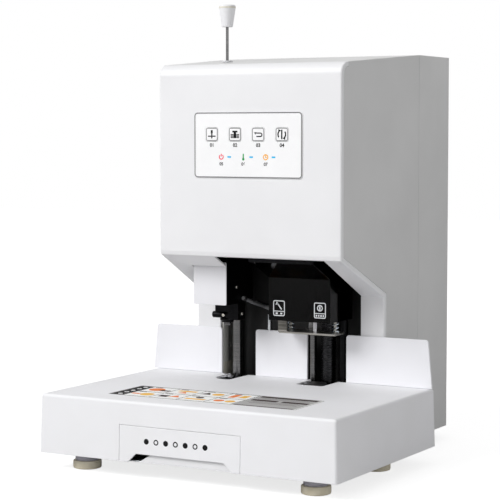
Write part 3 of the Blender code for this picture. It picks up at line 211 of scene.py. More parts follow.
# Dark and pale tone, least and most roughness, marks to the metre along X, Y and Z, and their depth
steels = {
    # flat parts ground on a belt: long fine lines along X, slightly warm where oiled
    "groundSteel": ("8f8d88", "b4b2ad", 0.26, 0.42, (14, 500, 500), 0.015),
    # bent tab, coarsely brushed and duller than the plate
    "brushedTab": ("585652", "7d7b76", 0.34, 0.5, (10, 420, 420), 0.02),
    # milled plate: wider feed marks across
    "milledAluminium": ("c2c3c5", "d6d7d9", 0.28, 0.42, (600, 40, 40), 0.02),
    # hard chrome on the bit and the lower die: nearly a mirror, faint rings
    "hardChrome": ("bfbec2", "cfcfd3", 0.08, 0.16, (30, 30, 900), 0.004),
    # induction-hardened ground shafts: painted shade, their colour darkened to stand in for the dark recess
    # they reflect, so that they gleam only in a narrow strip
    "shaftSteelPaintedShade": ("69696a", "7d7c7c", 0.12, 0.22, (30, 30, 700), 0.004),
    # bright zinc plate on runners and sheet: cool and cloudy
    "brightZinc": ("bcc0c4", "d6d9dc", 0.2, 0.38, (90, 90, 90), 0.01),
    # blue zinc on drawn spring wire, brighter than the sheet
    "springWire": ("c6d0da", "e2eaf1", 0.14, 0.24, (160, 160, 160), 0.005),
    # hot black oxide: near black, oily, shows the turning marks
    "blackOxide": ("131314", "1e1e20", 0.28, 0.44, (200, 200, 700), 0.012),
    # rolled threads of the lead screws, greyer on their crests
    "rolledThread": ("2a2a2c", "3e3e40", 0.22, 0.34, (200, 200, 700), 0.008),
    # nickel plate on screw heads
    "nickelPlate": ("cfcbc2", "e0dcd4", 0.16, 0.26, (150, 150, 150), 0.005),
    # contact pins of the inlet
    "pinBrass": ("c9a856", "dcbc6c", 0.2, 0.3, (200, 200, 200), 0.005),
}


def steel(name, dark, pale, low, high, stretch, depth):
    material, tree, shader, place = startMaterial(name, pale, 0.3, metallic=1.0)
    marks = shineRange(tree, shader, place, low, high, size=1000, stretch=stretch)
    twoTone(tree, shader, marks, dark, pale)
    bump = addNode(tree, "Bump", {"Strength": 0.6, "Distance": depth / 1000},
                   {"Height": marks.outputs["Fac"]})
    tree.links.new(bump.outputs["Normal"], shader.inputs["Normal"])
    return material


# Dark and pale tone, least and most roughness
rubbers = {
    # moulded rubber feet: no gloss, slightly dusty skin
    "beigeRubber": ("eae0c6", "f2e9d2", 0.72, 0.86),
    # silicone rubber sheath of the heater lead, and the harder rubber of the discs: a faint shine
    "leadSheath": ("7b7c7e", "88898b", 0.46, 0.58),
    "greyFootDisc": ("a9a6b0", "b4b1bb", 0.44, 0.56),
}


def rubber(name, dark, pale, low, high):
    material, tree, shader, place = startMaterial(name, pale, 0.7, settings={"IOR": 1.52})
    mottle(tree, shader, place, dark, pale, size=8)
    relief(tree, shader, place, size=0.7, depth=0.04)
    shineRange(tree, shader, place, low, high, size=6)
    return material


# smoked cast sheet with an anti-glare face, so its IOR is set low: dark, with little shine
def castAcrylic(name, colour):
    material, tree, shader, place = startMaterial(name, colour, 0.04, settings={
        "IOR": 1.22, "Transmission Weight": 1.0})
    shineRange(tree, shader, place, 0.03, 0.07, size=20)
    relief(tree, shader, place, size=30, depth=0.02, detail=0.0)
    return material


# printed polyester film over the keys: satin with a fine matt skin
def polyesterFilm(name, dark, pale):
    material, tree, shader, place = startMaterial(name, pale, 0.4, settings={
        "IOR": 1.57, "Specular IOR Level": 0.3})
    mottle(tree, shader, place, dark, pale, size=50)
    relief(tree, shader, place, size=0.6, depth=0.002)
    shineRange(tree, shader, place, 0.38, 0.44, size=20)
    return material


# screen-printed ink: flat colour, dull, slightly uneven film
def printedInk(name, colour):
    material, tree, shader, place = startMaterial(name, colour, 0.7, settings={
        "IOR": 1.5, "Specular IOR Level": 0.12})
    relief(tree, shader, place, size=0.5, depth=0.008)
    shineRange(tree, shader, place, 0.65, 0.77, size=3)
    return material


# epoxy solder mask over copper tracks: glossy green, paler where a track runs
def solderMask(name):
    material, tree, shader, place = startMaterial(name, "0f5a34", 0.3, settings={"IOR": 1.56})
    tracks = addNode(tree, "TexBrick", {
        "Scale": 60.0, "Mortar Size": 0.012, "Brick Width": 0.9, "Row Height": 0.3,
        "Color1": linear("0d5230"), "Color2": linear("10603a"), "Mortar": linear("2c8a52"),
    }, {"Vector": place})
    tree.links.new(tracks.outputs["Color"], shader.inputs["Base Color"])
    relief(tree, shader, place, size=2, depth=0.02)
    return material


makings = ((mouldedPlastic, mouldedPlastics), (powderCoat, powderCoats), (steel, steels), (rubber, rubbers))
materials = {name: make(name, *values) for make, finishes in makings for name, values in finishes.items()}
materials["smokedAcrylic"] = castAcrylic("smokedAcrylic", "18181b")
materials["panelFilm"] = polyesterFilm("panelFilm", "f7f7f8", "fbfbfc")
materials["lensFilm"] = polyesterFilm("lensFilm", "f8f9fa", "fbfcfd")
materials["solderMask"] = solderMask("solderMask")
inks = {
    "greyInk": "828283", "blackInk": "1a1a1b", "redInk": "f0304c", "greenInk": "0aa04c", "amberInk": "fbb016",
    "blueInk": "25bdf0", "whiteInk": "fdfdfc", "orangeInk": "ee8a4e", "sandInk": "f3c05c",
    "brownInk": "332525", "paleGreyInk": "b4b3b2", "midGreyInk": "7f7b7a", "darkGreyInk": "4c4b4c",
    "silverInk": "d2d5d8",
}
materials.update({name: printedInk(name, colour) for name, colour in inks.items()})
print("materials made:", len(materials))

weld = 0.000002                   # metres within which two corners are one
onLine = 0.0004                   # metres within which a corner lies on a line
sharpAngle = math.radians(32)     # edges that turn further than this are softened
upright = Matrix.Rotation(math.pi / 2, 4, "X")  # stands a flat shape up to face the front


def finishPiece(bm, name, finish, body, replaced=(), smooth=35, outward=True):
    bmesh.ops.remove_doubles(bm, verts=bm.verts, dist=weld)
    if outward:
        bmesh.ops.recalc_face_normals(bm, faces=bm.faces)
    mesh = bpy.data.meshes.new(name)
    bm.to_mesh(mesh)
    bm.free()
    mesh.materials.append(materials[finish])
    mesh.shade_smooth()
    mesh.set_sharp_from_angle(angle=math.radians(smooth))
    piece = bpy.data.objects.new(name, mesh)
    scene.collection.objects.link(piece)
    if body:
        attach(piece, body)
    if replaced:
        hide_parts(*replaced)
    return piece


def softenEdges(piece, width):
    edges = piece.modifiers.new("softEdges", "BEVEL")
    edges.width = width / 1000
    edges.segments = 2
    edges.limit_method = "ANGLE"
    edges.angle_limit = sharpAngle
    edges.miter_outer = "MITER_ARC"
    flats = piece.modifiers.new("flatFaces", "WEIGHTED_NORMAL")  # keeps wide faces flat beside their rounding
    flats.keep_sharp = True
    flats.weight = 100


def stamp(bm, shape, matrix=Matrix()):  # adds a finished shape to a piece
    mesh = bpy.data.meshes.new("shape")
    shape.to_mesh(mesh)
    shape.free()
    mesh.transform(matrix)
    bm.from_mesh(mesh)
    bpy.data.meshes.remove(mesh)


def placed(spot, facing):  # takes a shape made upright to its spot, with its top facing a direction
    turn = Vector(facing).to_track_quat("Z", "Y").to_matrix().to_4x4()
    return Matrix.Translation(Vector(spot) / 1000) @ turn


def turned(profile, spot=(0, 0, 0), steps=48, facing=(0, 0, 1)):  # (radius, height) points, spun round
    bm = bmesh.new()
    chain = [bm.verts.new((radius / 1000, 0, rise / 1000)) for radius, rise in profile]
    edges = [bm.edges.new(pair) for pair in zip(chain, chain[1:])]
    bmesh.ops.spin(bm, geom=chain + edges, cent=(0, 0, 0), axis=(0, 0, 1), angle=2 * math.pi, steps=steps,
                   use_merge=True, use_duplicate=False)
    bmesh.ops.remove_doubles(bm, verts=bm.verts, dist=weld)
    bmesh.ops.recalc_face_normals(bm, faces=bm.faces)
    bmesh.ops.transform(bm, matrix=placed(spot, facing), verts=bm.verts)
    return bm


def block(low, high):  # a plain block between two corners, to be rounded afterwards
    bm = bmesh.new()
    bmesh.ops.create_cube(bm, size=1)
    size = [(far - near) / 1000 for near, far in zip(low, high)]
    middle = [(far + near) / 2000 for near, far in zip(low, high)]
    bmesh.ops.scale(bm, vec=size, verts=bm.verts)
    bmesh.ops.translate(bm, vec=middle, verts=bm.verts)
    return bm


# Pan head with a cross recess, as shares of its radius, or of its rise for the crown and the recess
panHead = {"sides": 24, "taper": 0.94, "crown": 0.4, "shoulder": 0.12, "arm": 0.62, "waist": 0.2,
           "armAngle": 10, "recess": 0.55, "recessWall": 0.02}


def screwHead(spot, facing, radius, rise):
    radius, rise = radius / 1000, rise / 1000
    bm = bmesh.new()
    bmesh.ops.create_cone(bm, cap_ends=True, segments=panHead["sides"], radius1=radius,
                          radius2=radius * panHead["taper"], depth=rise)
    top = max(bm.faces, key=lambda face: face.calc_center_median().z)
    bmesh.ops.bevel(bm, geom=list(top.edges), offset=rise * panHead["crown"], segments=3, affect="EDGES",
                    profile=0.5, material=-1)
    top = max(bm.faces, key=lambda face: face.calc_center_median().z)
    bmesh.ops.inset_region(bm, faces=[top], thickness=radius * panHead["shoulder"])
    for vert in top.verts:
        angle = math.degrees(math.atan2(vert.co.y, vert.co.x)) % 90
        onArm = min(angle, 90 - angle) < panHead["armAngle"]
        vert.co.xy = vert.co.xy.normalized() * radius * panHead["arm" if onArm else "waist"]
    bmesh.ops.inset_region(bm, faces=[top], thickness=radius * panHead["recessWall"],
                           depth=-rise * panHead["recess"])
    bmesh.ops.translate(bm, vec=(0, 0, rise / 2), verts=bm.verts)
    bmesh.ops.transform(bm, matrix=placed(spot, facing), verts=bm.verts)
    return bm


inkHeight = 0.00006               # metres
markSides = {"disc": 28, "wedge": 3}
arcStep = 12                      # degrees
numeralForm = {"size": 1.35, "bolder": 0.045}  # shares of a numeral's height


def flatMark(kind, wide, high, line=0.0, radius=0.0, sweep=360, words=""):  # one printed shape, lying flat
    bm = bmesh.new()
    wide, high, line, radius = wide / 1000, high / 1000, line / 1000, radius / 1000
    if kind == "bar":
        corners = bmesh.ops.create_grid(bm, x_segments=1, y_segments=1, size=0.5)["verts"]
        bmesh.ops.scale(bm, vec=(wide, high, 1), verts=corners)
        if radius:
            bmesh.ops.bevel(bm, geom=corners, offset=radius, segments=4, affect="VERTICES", profile=0.5,
                            material=-1)
    elif kind in markSides:
        made = bmesh.ops.create_circle(bm, cap_ends=True, radius=0.5, segments=markSides[kind])["verts"]
        bmesh.ops.scale(bm, vec=(wide, high, 1), verts=made)
    elif kind == "arc":
        ends = [bm.verts.new((wide / 2 - inset, 0, 0)) for inset in (0, line)]
        bmesh.ops.spin(bm, geom=ends + [bm.edges.new(ends)], cent=(0, 0, 0), axis=(0, 0, 1),
                       angle=math.radians(sweep), steps=round(sweep / arcStep), use_duplicate=False)
    elif kind == "numeral":
        letters = bpy.data.curves.new("numeral", "FONT")
        letters.body = words
        letters.size = high * numeralForm["size"]
        letters.offset = high * numeralForm["bolder"]
        letters.align_x, letters.align_y = "CENTER", "CENTER"
        holder = bpy.data.objects.new("numeral", letters)
        mesh = bpy.data.meshes.new_from_object(holder)
        bm.from_mesh(mesh)
        bpy.data.objects.remove(holder)
        bpy.data.curves.remove(letters)
        bpy.data.meshes.remove(mesh)
    if line and kind != "arc":
        rim = set(bmesh.ops.inset_region(bm, faces=bm.faces[:], thickness=line, use_boundary=True,
                                         use_even_offset=True)["faces"])
        bmesh.ops.delete(bm, geom=[face for face in bm.faces if face not in rim], context="FACES")
    grown = bmesh.ops.extrude_face_region(bm, geom=bm.faces[:])["geom"]
    raised = [item for item in grown if isinstance(item, bmesh.types.BMVert)]
    bmesh.ops.translate(bm, vec=(0, 0, inkHeight), verts=raised)
    return bm


# Marks of one ink on one face: kind, across, up, width, height and what else their kind needs
def printPiece(name, ink, carrier, marks, body="root"):
    bm = bmesh.new()
    for kind, across, up, wide, high, *more in marks:
        settings = dict(more[0]) if more else {}
        turn = Matrix.Rotation(math.radians(settings.pop("turn", 0)), 4, "Z")
        spot = Matrix.Translation((across / 1000, up / 1000, 0))
        stamp(bm, flatMark(kind, wide, high, **settings), carrier @ spot @ turn)
    finishPiece(bm, name, ink, body)


def shifted(marks, across, up):  # the same marks round another middle
    return [(kind, across + x, up + z, *rest) for kind, x, z, *rest in marks]


def frontFace(front):  # an upright plane at this depth in metres, facing forward
    return Matrix.Translation((0, front, 0)) @ upright


def dotRow(row, across, up, stepX, stepY):  # discs and rings in turn, like paper dots and what they leave
    return [("disc", across + stepX * count, up + stepY * count, row["size"], row["size"],
             {"line": row["line"]} if count % 2 else {}) for count in range(row["count"])]


# CAD nodes whose form is right but whose edges are knife sharp: finish, slot, edge width and nodes
edgedNodes = [
    ("whiteMouldedAbs", "white_cover", 0.7, "front_cover"),
    ("baseMouldedAbs", "white_cover", 0.4, "base_shell"),
    ("baseMouldedAbs", "white_cover", 0.6, "chip_drawer"),
    ("greyPowderCoat", "grey_paint", 0.35, "left_side_panel right_side_panel top_panel rear_cover"),
    ("whitePowderCoat", "white_paint", 0.5, "left_guide_plate middle_guide_plate right_guide_plate"),
    ("headPowderCoat", "white_paint", 0.4, "head_cover"),
    ("blackOxide", "black_steel", 0.5, "rivet_carriage"),
    ("blackOxide", "black_steel", 0.3, "upper_die_holder"),
    ("milledAluminium", "aluminium", 0.6, "drill_carriage"),
    ("groundSteel", "bare_steel", 0.3, "press_plate"),
    ("smokedAcrylic", "smoked_acrylic", 0.4, "smoked_cover"),
    ("blackPowderCoat", "black_paint", 0.3, "recess_back_plate"),
    ("darkGreyPowderCoat", "dark_grey_paint", 0.3, "recess_left_plate"),
    ("brightZinc", "zinc_steel", 0.5, "main_frame"),
    ("groundSteel", "bare_steel", 0.5, "bed_plate top_mount_plate"),
    ("brightZinc", "zinc_steel", 0.3, "base_plate left_drawer_runner right_drawer_runner"),
    ("brightZinc", "zinc_steel", 0.6, "power_supply"),
    ("solderMask", "circuit_board", 0.15, "control_board"),
    ("blackNylon", "black_plastic", 0.6, "drill_lift_motor rivet_lift_motor"),
    ("blackNylon", "black_plastic", 0.4, "power_inlet power_rocker"),
    ("panelFilm", "panel_film", 0.3, "key_punch key_rivet key_return key_change"),
]

# The white cover is moulded with round outer corners and a lip that leans back
coverLip = {"low": 0.2715, "high": 0.2765, "front": -0.0729, "lean": (0, 0.0012, -0.00058)}  # metres
coverCorners = {
    "widest": 2.7, "segments": 4,
    # each kind's share of the widest rounding
    "outer": 1.0, "lower": 0.4, "lip": 0.25, "rest": 0.18, "foot": 0.04,
    # an outer corner: one face looks sideways, the other forward, this far out in metres
    "sideways": 0.9, "forward": 0.4, "outside": 0.13,
    # a lower edge: its two faces together look forward and down, and it is longer than this in metres
    "lowerForward": 1.3, "lowerDown": 0.8, "longer": 0.1,
    # the lip's foot, in metres
    "footFront": -0.07, "footTop": 0.274,
}


def leanLip(bm, lip):
    bmesh.ops.bisect_plane(bm, geom=bm.verts[:] + bm.edges[:] + bm.faces[:], plane_co=(0, 0, lip["high"]),
                           plane_no=(0, 0, 1))
    front, low = lip["front"] + onLine, lip["low"] + onLine
    leaning = [vert for vert in bm.verts if vert.co.y < front and vert.co.z < low]
    bmesh.ops.translate(bm, vec=lip["lean"], verts=leaning)
    bm.normal_update()


def weighEdges(bm, lip, corners):  # how much of the widest rounding each edge gets
    weights = bm.edges.layers.float.new("bevel_weight_edge")
    for edge in bm.edges:
        front, top = (max(vert.co[axis] for vert in edge.verts) for axis in (1, 2))
        bottom = min(vert.co.z for vert in edge.verts)
        if front < lip["front"] + onLine and lip["high"] - onLine < bottom and top < lip["high"] + onLine:
            edge[weights] = corners["lip"]
        if len(edge.link_faces) != 2 or edge.calc_face_angle() < sharpAngle:
            continue
        atFoot = front < corners["footFront"] and top < corners["footTop"]
        edge[weights] = corners["foot" if atFoot else "rest"]
        if not edge.is_convex:
            continue
        side, front = sorted((face.normal for face in edge.link_faces), key=lambda normal: -abs(normal.x))
        isCorner = (abs(side.x) > corners["sideways"] and abs(front.x) < 1 - corners["sideways"]
                    and front.y < -corners["forward"])
        isLower = (side.y + front.y < -corners["lowerForward"] and side.z + front.z < -corners["lowerDown"]
                   and edge.calc_length() > corners["longer"])
        if isCorner and abs(edge.verts[0].co.x) > corners["outside"]:
            edge[weights] = corners["outer"]
        elif isLower:
            edge[weights] = corners["lower"]


def edgedCopy(node, finish, slot, width):
    bm = bmesh.new()
    bm.from_mesh(nodes[node].data)
    bmesh.ops.remove_doubles(bm, verts=bm.verts, dist=0.00001)
    bmesh.ops.dissolve_limit(bm, angle_limit=math.radians(0.6), verts=bm.verts, edges=bm.edges)
    if node == "front_cover":
        leanLip(bm, coverLip)
        weighEdges(bm, coverLip, coverCorners)
    name = "".join(part.title() for part in node.split("_")) + "Form"
    piece = finishPiece(bm, name[0].lower() + name[1:], finish, nodes[node]["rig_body"], [node],
                        outward=False)
    softenEdges(piece, width)
    if node == "front_cover":
        edges = piece.modifiers["softEdges"]
        edges.limit_method = "WEIGHT"
        edges.width = coverCorners["widest"] / 1000
        edges.segments = coverCorners["segments"]
        edges.use_clamp_overlap = False
    return piece


edged = [edgedCopy(node, *values) for *values, members in edgedNodes for node in members.split()]
print("edges softened:", len(edged))

# CAD nodes that are right as they are: a better material only
dressedNodes = {
    # the posts and the tube rod take the darkened shaft steel: painted shade for the dark recess they reflect
    "left_drill_post": "shaftSteelPaintedShade", "right_drill_post": "blackOxide", "rivet_post": "shaftSteelPaintedShade",
    "drill_bit": "hardChrome", "drill_spindle": "blackOxide", "drill_motor": "motorCanPaint",
    "laser_module": "blackOxide", "cutting_pad": "blackAcetal", "rod_bushing": "baseMouldedAbs",
    "tube_rod": "shaftSteelPaintedShade", "heater_lead": "leadSheath", "back_foot": "beigeRubber",
    "control_panel": "panelFilm", "indicator_strip": "lensFilm",
}
for node, finish in dressedNodes.items():
    for place in nodes[node].material_slots:
        place.material = materials[finish]

# Springs on the press plate's pins, in metres
pressSpring = {
    "centres": {"left": (0.0165, 0.0165), "right": (0.0835, 0.0165)},
    "low": 0.1681, "high": 0.2620,        # heights of the wire's two ends
    "coilRadius": 0.0048, "wireRadius": 0.0007,
    "curls": 18, "closedCurls": 1.0,      # open curls, and closed ones at each end
    "closedClimb": 2.1,                   # wire radii that a closed curl climbs
    "stepsPerCurl": 22, "wireSides": 8,
    "left": 0.382,                        # share of the length that is left when it is pressed
}


def coil(centre, values):  # a ring of wire turned round its axis while it climbs
    bm = bmesh.new()
    wire, low, high = values["wireRadius"], values["low"], values["high"]
    ring = bmesh.ops.create_circle(bm, cap_ends=True, radius=wire, segments=values["wireSides"])["verts"]
    start = Vector((centre[0] + values["coilRadius"], centre[1], low + wire))
    bmesh.ops.transform(bm, matrix=Matrix.Translation(start) @ upright, verts=ring)
    closed, curls = values["closedCurls"], values["curls"]
    closedRise = closed * values["closedClimb"] * wire
    runs = [(closed, closedRise), (curls, high - low - 2 * wire - 2 * closedRise), (closed, closedRise)]
    face = list({face for vert in ring for face in vert.link_faces})
    grown = face + list({edge for vert in ring for edge in vert.link_edges}) + ring
    for turns, rise in runs:
        steps = round(turns * values["stepsPerCurl"])
        grown = bmesh.ops.spin(bm, geom=grown, cent=(centre[0], centre[1], 0), axis=(0, 0, 1),
                               dvec=(0, 0, rise / steps), angle=turns * 2 * math.pi, steps=steps,
                               use_duplicate=False)["geom_last"]
    return bm


for side, centre in pressSpring["centres"].items():
    spring = finishPiece(coil(centre, pressSpring), side + "PressSpring", "springWire",
                         "drill_head", [side + "_press_spring"])
    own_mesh(spring)
print("springs wound")

controlPrint = {
    "panelFront": -0.0740, "keyFront": -0.0745,       # metres
    "panel": (-0.1, 418, 160.8, 85.6, {"line": 1.55, "radius": 4.6}),
    "keys": {"punch": -53.6, "rivet": -18.6, "return": 16, "change": 51},
    "keyHeight": 432,
    "keyOutline": (17.7, 17.0, {"line": 1.05, "radius": 2.6}),
    "numerals": {"keys": (417.8, 4.8), "lamps": (393.2, 4.2)},  # place up the panel, and height
    "lamps": {"power": -39.4, "heat": -6.2, "time": 27.0},
    "lampHeight": 402.5,
    "dashes": (-27.4, 5.6, 38.7), "dash": (5.4, 2.1, {"radius": 0.4}),
    "window": (-0.5, 402.5, 93, 10.4, {"radius": 1.2}),
}
# symbols of the lamps with their inks, and pictograms of the keys, each drawn round its middle
lampSymbols = {
    "power": ("redInk", [("arc", 0, 0, 7.2, 0, {"line": 1.3, "sweep": 290, "turn": 125}),
                         ("bar", 0, 2.4, 1.3, 3.6)]),
    "heat": ("greenInk", [("bar", 0, 1.2, 1.7, 6.4, {"radius": 0.8}), ("disc", 0, -2.8, 3.4, 3.4)]),
    "time": ("amberInk", [("disc", 0, 0, 7.8, 7.8, {"line": 1.3}), ("bar", 0, 0.9, 1.1, 3.0),
                          ("bar", 0.8, -0.2, 2.2, 1.1)]),
}
pictograms = {
    "punch": [("bar", 0, 3.6, 2.9, 4.0), ("bar", 0, 0, 1.9, 9.6), ("wedge", 0, -4.5, 2.8, 2.8, {"turn": -90}),
              ("bar", 0, -2.4, 11.6, 1.5)],
    "rivet": [("bar", 0, 3.7, 7.8, 2.3, {"radius": 0.6}), ("bar", 0, 1.8, 3.6, 2.6),
              ("bar", 0, -2.2, 4.6, 5.4)],
    "return": [("wedge", -4.0, 1.7, 4.4, 4.4, {"turn": 180}), ("bar", 0.6, 1.7, 6.2, 1.5),
               ("arc", 3.6, -0.5, 5.9, 0, {"line": 1.5, "sweep": 180, "turn": -90}),
               ("bar", 0.6, -2.7, 6.2, 1.5)],
    "change": [("bar", 0, 0, 1.9, 12.4), ("arc", 0.2, 0, 13.4, 0, {"line": 1.9, "sweep": 80, "turn": 138}),
               ("arc", -0.2, 0, 13.4, 0, {"line": 1.9, "sweep": 80, "turn": -42}),
               ("wedge", -3.7, 4.9, 5.2, 5.2, {"turn": 28}), ("wedge", 3.7, -4.9, 5.2, 5.2, {"turn": 208})],
}
# grey sheets on both sides of the rivet
sheets = [("bar", side * 4.5, level, 3.8, 1.5) for side in (-1, 1) for level in (-4.1, -2.2, -0.3)]

panelFace, keyFace = frontFace(controlPrint["panelFront"]), frontFace(controlPrint["keyFront"])
lampFace = frontFace(controlPrint["panelFront"] - inkHeight)
printPiece("panelOutline", "greyInk", panelFace, [("bar", *controlPrint["panel"])])
printPiece("lampWindow", "panelFilm", panelFace, [("bar", *controlPrint["window"])])
numerals = []
for row, (height, size) in controlPrint["numerals"].items():
    for x in controlPrint[row].values():
        numerals.append(("numeral", x, height, 0, size, {"words": f"0{len(numerals) + 1}"}))
printPiece("panelNumerals", "blackInk", panelFace, numerals)
lampHeight, keyHeight = controlPrint["lampHeight"], controlPrint["keyHeight"]
for job, x in controlPrint["lamps"].items():
    ink, symbol = lampSymbols[job]
    printPiece(job + "Mark", ink, lampFace, shifted(symbol, x, lampHeight))
printPiece("lampDashes", "blueInk", lampFace, [("bar", x, lampHeight, *controlPrint["dash"])
                                               for x in controlPrint["dashes"]])
for job, x in controlPrint["keys"].items():
    body, outline = job + "_key", ("bar", x, keyHeight, *controlPrint["keyOutline"])
    printPiece(job + "KeyOutline", "greyInk", keyFace, [outline], body=body)
    printPiece(job + "Pictogram", "blackInk", keyFace, shifted(pictograms[job], x, keyHeight), body=body)
printPiece("rivetSheets", "darkGreyInk", keyFace, shifted(sheets, controlPrint["keys"]["rivet"], keyHeight),
           body="rivet_key")
print("panel printed")

# Printed sheet on the table: a plain chart of coloured shapes
chart = {
    "spot": (1.5, -161), "size": (273, 82), "top": 98.8, "corner": 3.0, "edge": 1.6,
    "high": 78.6, "fieldCorner": 1.6,
    "strip": (-123.6, 19.0),              # middle and width of the black strip
    "cells": (-113.6, 47.0, 4, 2),        # from, to, columns and rows of the white field
    "legend": (91.4, 87.0),               # middle and width of the grey field
    "dots": {"count": 5, "across": -122.1, "up": -191, "apart": 15, "size": 6.4, "line": 1.9},
    "lines": {"frame": 1.3, "upright": 1.2, "level": 1.7, "gap": 1.4},
    "tab": (-0.26, 0.4, 11, 2.4),         # small bar in each cell, offset in shares of the cell
    # brown bars and grey rules of the legend: offsets from its middle, width and height
    "legendBars": [(0, 33, 81, 9), (-21, 6.5, 36.5, 9), (22, 6.5, 36.5, 9), (0, -36.8, 83, 3)],
    "barCorner": 0.8,
    "rules": {"blocks": [(25, 3), (-1.5, 4)], "across": -3, "indent": 5, "apart": 4.6, "size": (67, 1.5)},
}
# shapes in each cell: kind, offset across and up in shares of the cell, width, height and ink
cellShapes = [
    [("disc", -0.1, 0.0, 22, 22, "orangeInk"), ("bar", 0.27, -0.1, 14, 8, "brownInk")],
    [("bar", 0.0, 0.14, 27, 8, "sandInk"), ("wedge", 0.0, -0.18, 15, 15, "orangeInk")],
    [("wedge", -0.22, 0.0, 18, 18, "brownInk"), ("disc", 0.2, 0.02, 16, 16, "sandInk")],
    [("bar", -0.18, 0.0, 9, 24, "orangeInk"), ("bar", 0.18, 0.0, 10, 18, "sandInk")],
    [("disc", 0.14, 0.0, 19, 19, "sandInk"), ("bar", -0.28, 0.0, 12, 6, "orangeInk")],
    [("wedge", 0.18, 0.02, 18, 18, "orangeInk"), ("bar", -0.2, -0.04, 13, 12, "brownInk")],
    [("bar", 0.0, -0.12, 29, 7, "sandInk"), ("disc", 0.0, 0.2, 11, 11, "brownInk")],
    [("disc", -0.2, 0.0, 14, 14, "orangeInk"), ("disc", 0.2, 0.0, 14, 14, "sandInk")],
]

tableFace, chartFace, upperFace = [Matrix.Translation((0, 0, chart["top"] / 1000 + layer * inkHeight))
                                   for layer in range(3)]
sheet, middle, tall = (*chart["spot"], *chart["size"]), chart["spot"][1], chart["high"]
printPiece("chartFilm", "whiteInk", tableFace, [("bar", *sheet, {"radius": chart["corner"]})])
printPiece("chartEdge", "paleGreyInk", chartFace, [("bar", *sheet, {"radius": chart["corner"],
                                                                    "line": chart["edge"]})])
for name, ink, key in (("chartStrip", "blackInk", "strip"), ("chartLegend", "paleGreyInk", "legend")):
    x, wide = chart[key]
    printPiece(name, ink, chartFace, [("bar", x, middle, wide, tall, {"radius": chart["fieldCorner"]})])
dots = chart["dots"]
printPiece("stripDots", "whiteInk", upperFace, dotRow(dots, dots["across"], dots["up"], 0, dots["apart"]))

left, right, columns, rows = chart["cells"]
cellWide, cellHigh, lines = (right - left) / columns, tall / rows, chart["lines"]
grid = [("bar", (left + right) / 2, middle, right - left, tall, {"line": lines["frame"]})]
grid += [("bar", left + cellWide * count, middle, lines["upright"], tall - 2 * lines["gap"])
         for count in range(1, columns)]
grid += [("bar", left + cellWide * (count + 0.5), middle, cellWide - lines["gap"], lines["level"])
         for count in range(columns)]
printPiece("chartLines", "darkGreyInk", chartFace, grid)

shapes = {"orangeInk": [], "sandInk": [], "brownInk": []}
for count, cell in enumerate(cellShapes):
    cellX = left + cellWide * (count % columns + 0.5)
    cellY = middle + (0.5 - count // columns) * cellHigh
    for kind, across, up, wide, high, ink in cell + [("bar", *chart["tab"], "brownInk")]:
        shapes[ink].append((kind, cellX + across * cellWide, cellY + up * cellHigh, wide, high))
legendX = chart["legend"][0]
for across, up, wide, high in chart["legendBars"]:
    shapes["brownInk"].append(("bar", legendX + across, middle + up, wide, high,
                               {"radius": chart["barCorner"]}))
for ink, marks in shapes.items():
    printPiece("chart" + ink[0].upper() + ink[1:-3], ink, upperFace, marks)
rules = chart["rules"]
printPiece("legendRules", "midGreyInk", upperFace, [
    ("bar", legendX + rules["across"] + rules["indent"] * (row % 2), middle + first - rules["apart"] * row,
     *rules["size"]) for first, count in rules["blocks"] for row in range(count)])
print("chart printed")

# Two outlined plates on the smoked cover, each drawn round its middle
guardPlates = {
    "front": -0.0170,                     # metres
    "middles": {"left": (16.2, 200.6), "right": (77.4, 200.4)},
    "frame": [("bar", 0, 0, 17.6, 21.0, {"line": 1.3, "radius": 2.6}), ("bar", 0, -4.0, 15.2, 1.1)],
    "left": [("bar", 0.7, 2.6, 1.7, 10.5, {"turn": 38}), ("wedge", -2.9, 6.3, 5.8, 5.8, {"turn": 128}),
             ("bar", -3.4, -7.0, 3.2, 2.4), ("bar", 3.4, -7.0, 3.2, 2.4)],
    "right": [("disc", 0, 3.2, 8.6, 8.6, {"line": 1.5}), ("bar", 0, 3.2, 1.8, 4.6),
              *[("bar", -5.1 + 3.4 * count, -7.0, 2.0, 2.4) for count in range(4)]],
}
marks = []
for side, middle in guardPlates["middles"].items():
    marks += shifted(guardPlates["frame"] + guardPlates[side], *middle)
printPiece("guardPlates", "silverInk", frontFace(guardPlates["front"]), marks)

# Row of paper dots on the drawer, whose front leans back
dots = {"count": 7, "across": -50.8, "up": 27.8, "apart": 14.2, "size": 7.2, "line": 1.5}
drawerFront = {"foot": (0, -0.2415, 0.022), "lean": math.atan(0.002 / 0.0768)}  # metres
tilt = Matrix.Rotation(math.pi / 2 - drawerFront["lean"], 4, "X")
printPiece("drawerDots", "blackInk", Matrix.Translation(drawerFront["foot"]) @ tilt,
           dotRow(dots, dots["across"], dots["up"], dots["apart"], 0), "drawer")

# Pale wall behind the finger grip, just inside the drawer front; its upper left corner stands in
gripWall = {"low": (-64, -237.3, 22.4), "high": (75, -236.6, 34.4), "lean": 20}
bm = block(gripWall["low"], gripWall["high"])
for vert in bm.verts:
    if vert.co.x < 0 and vert.co.z > gripWall["high"][2] / 1000 - onLine:
        vert.co.x += gripWall["lean"] / 1000
finishPiece(bm, "gripWall", "whiteMouldedAbs", "drawer")
print("guard and drawer printed")

# Lead screws: a core and its raised starts, swept up round it
leadScrews = {
    "drill": {"centre": (56.5, 50.5), "core": 8.7, "crest": 10.0, "lead": 10.0, "starts": 3, "steps": 24},
    "rivet": {"centre": (-94.5, 60.5), "core": 4.1, "crest": 5.0, "lead": 5.0, "starts": 2, "steps": 16},
}
screwEnds = {"low": 84.3, "high": 419.7, "end": 428.3, "journal": 3.0, "land": 6.0, "shoulder": 6.8,
             "chamfer": 0.6, "tip": 0.4}
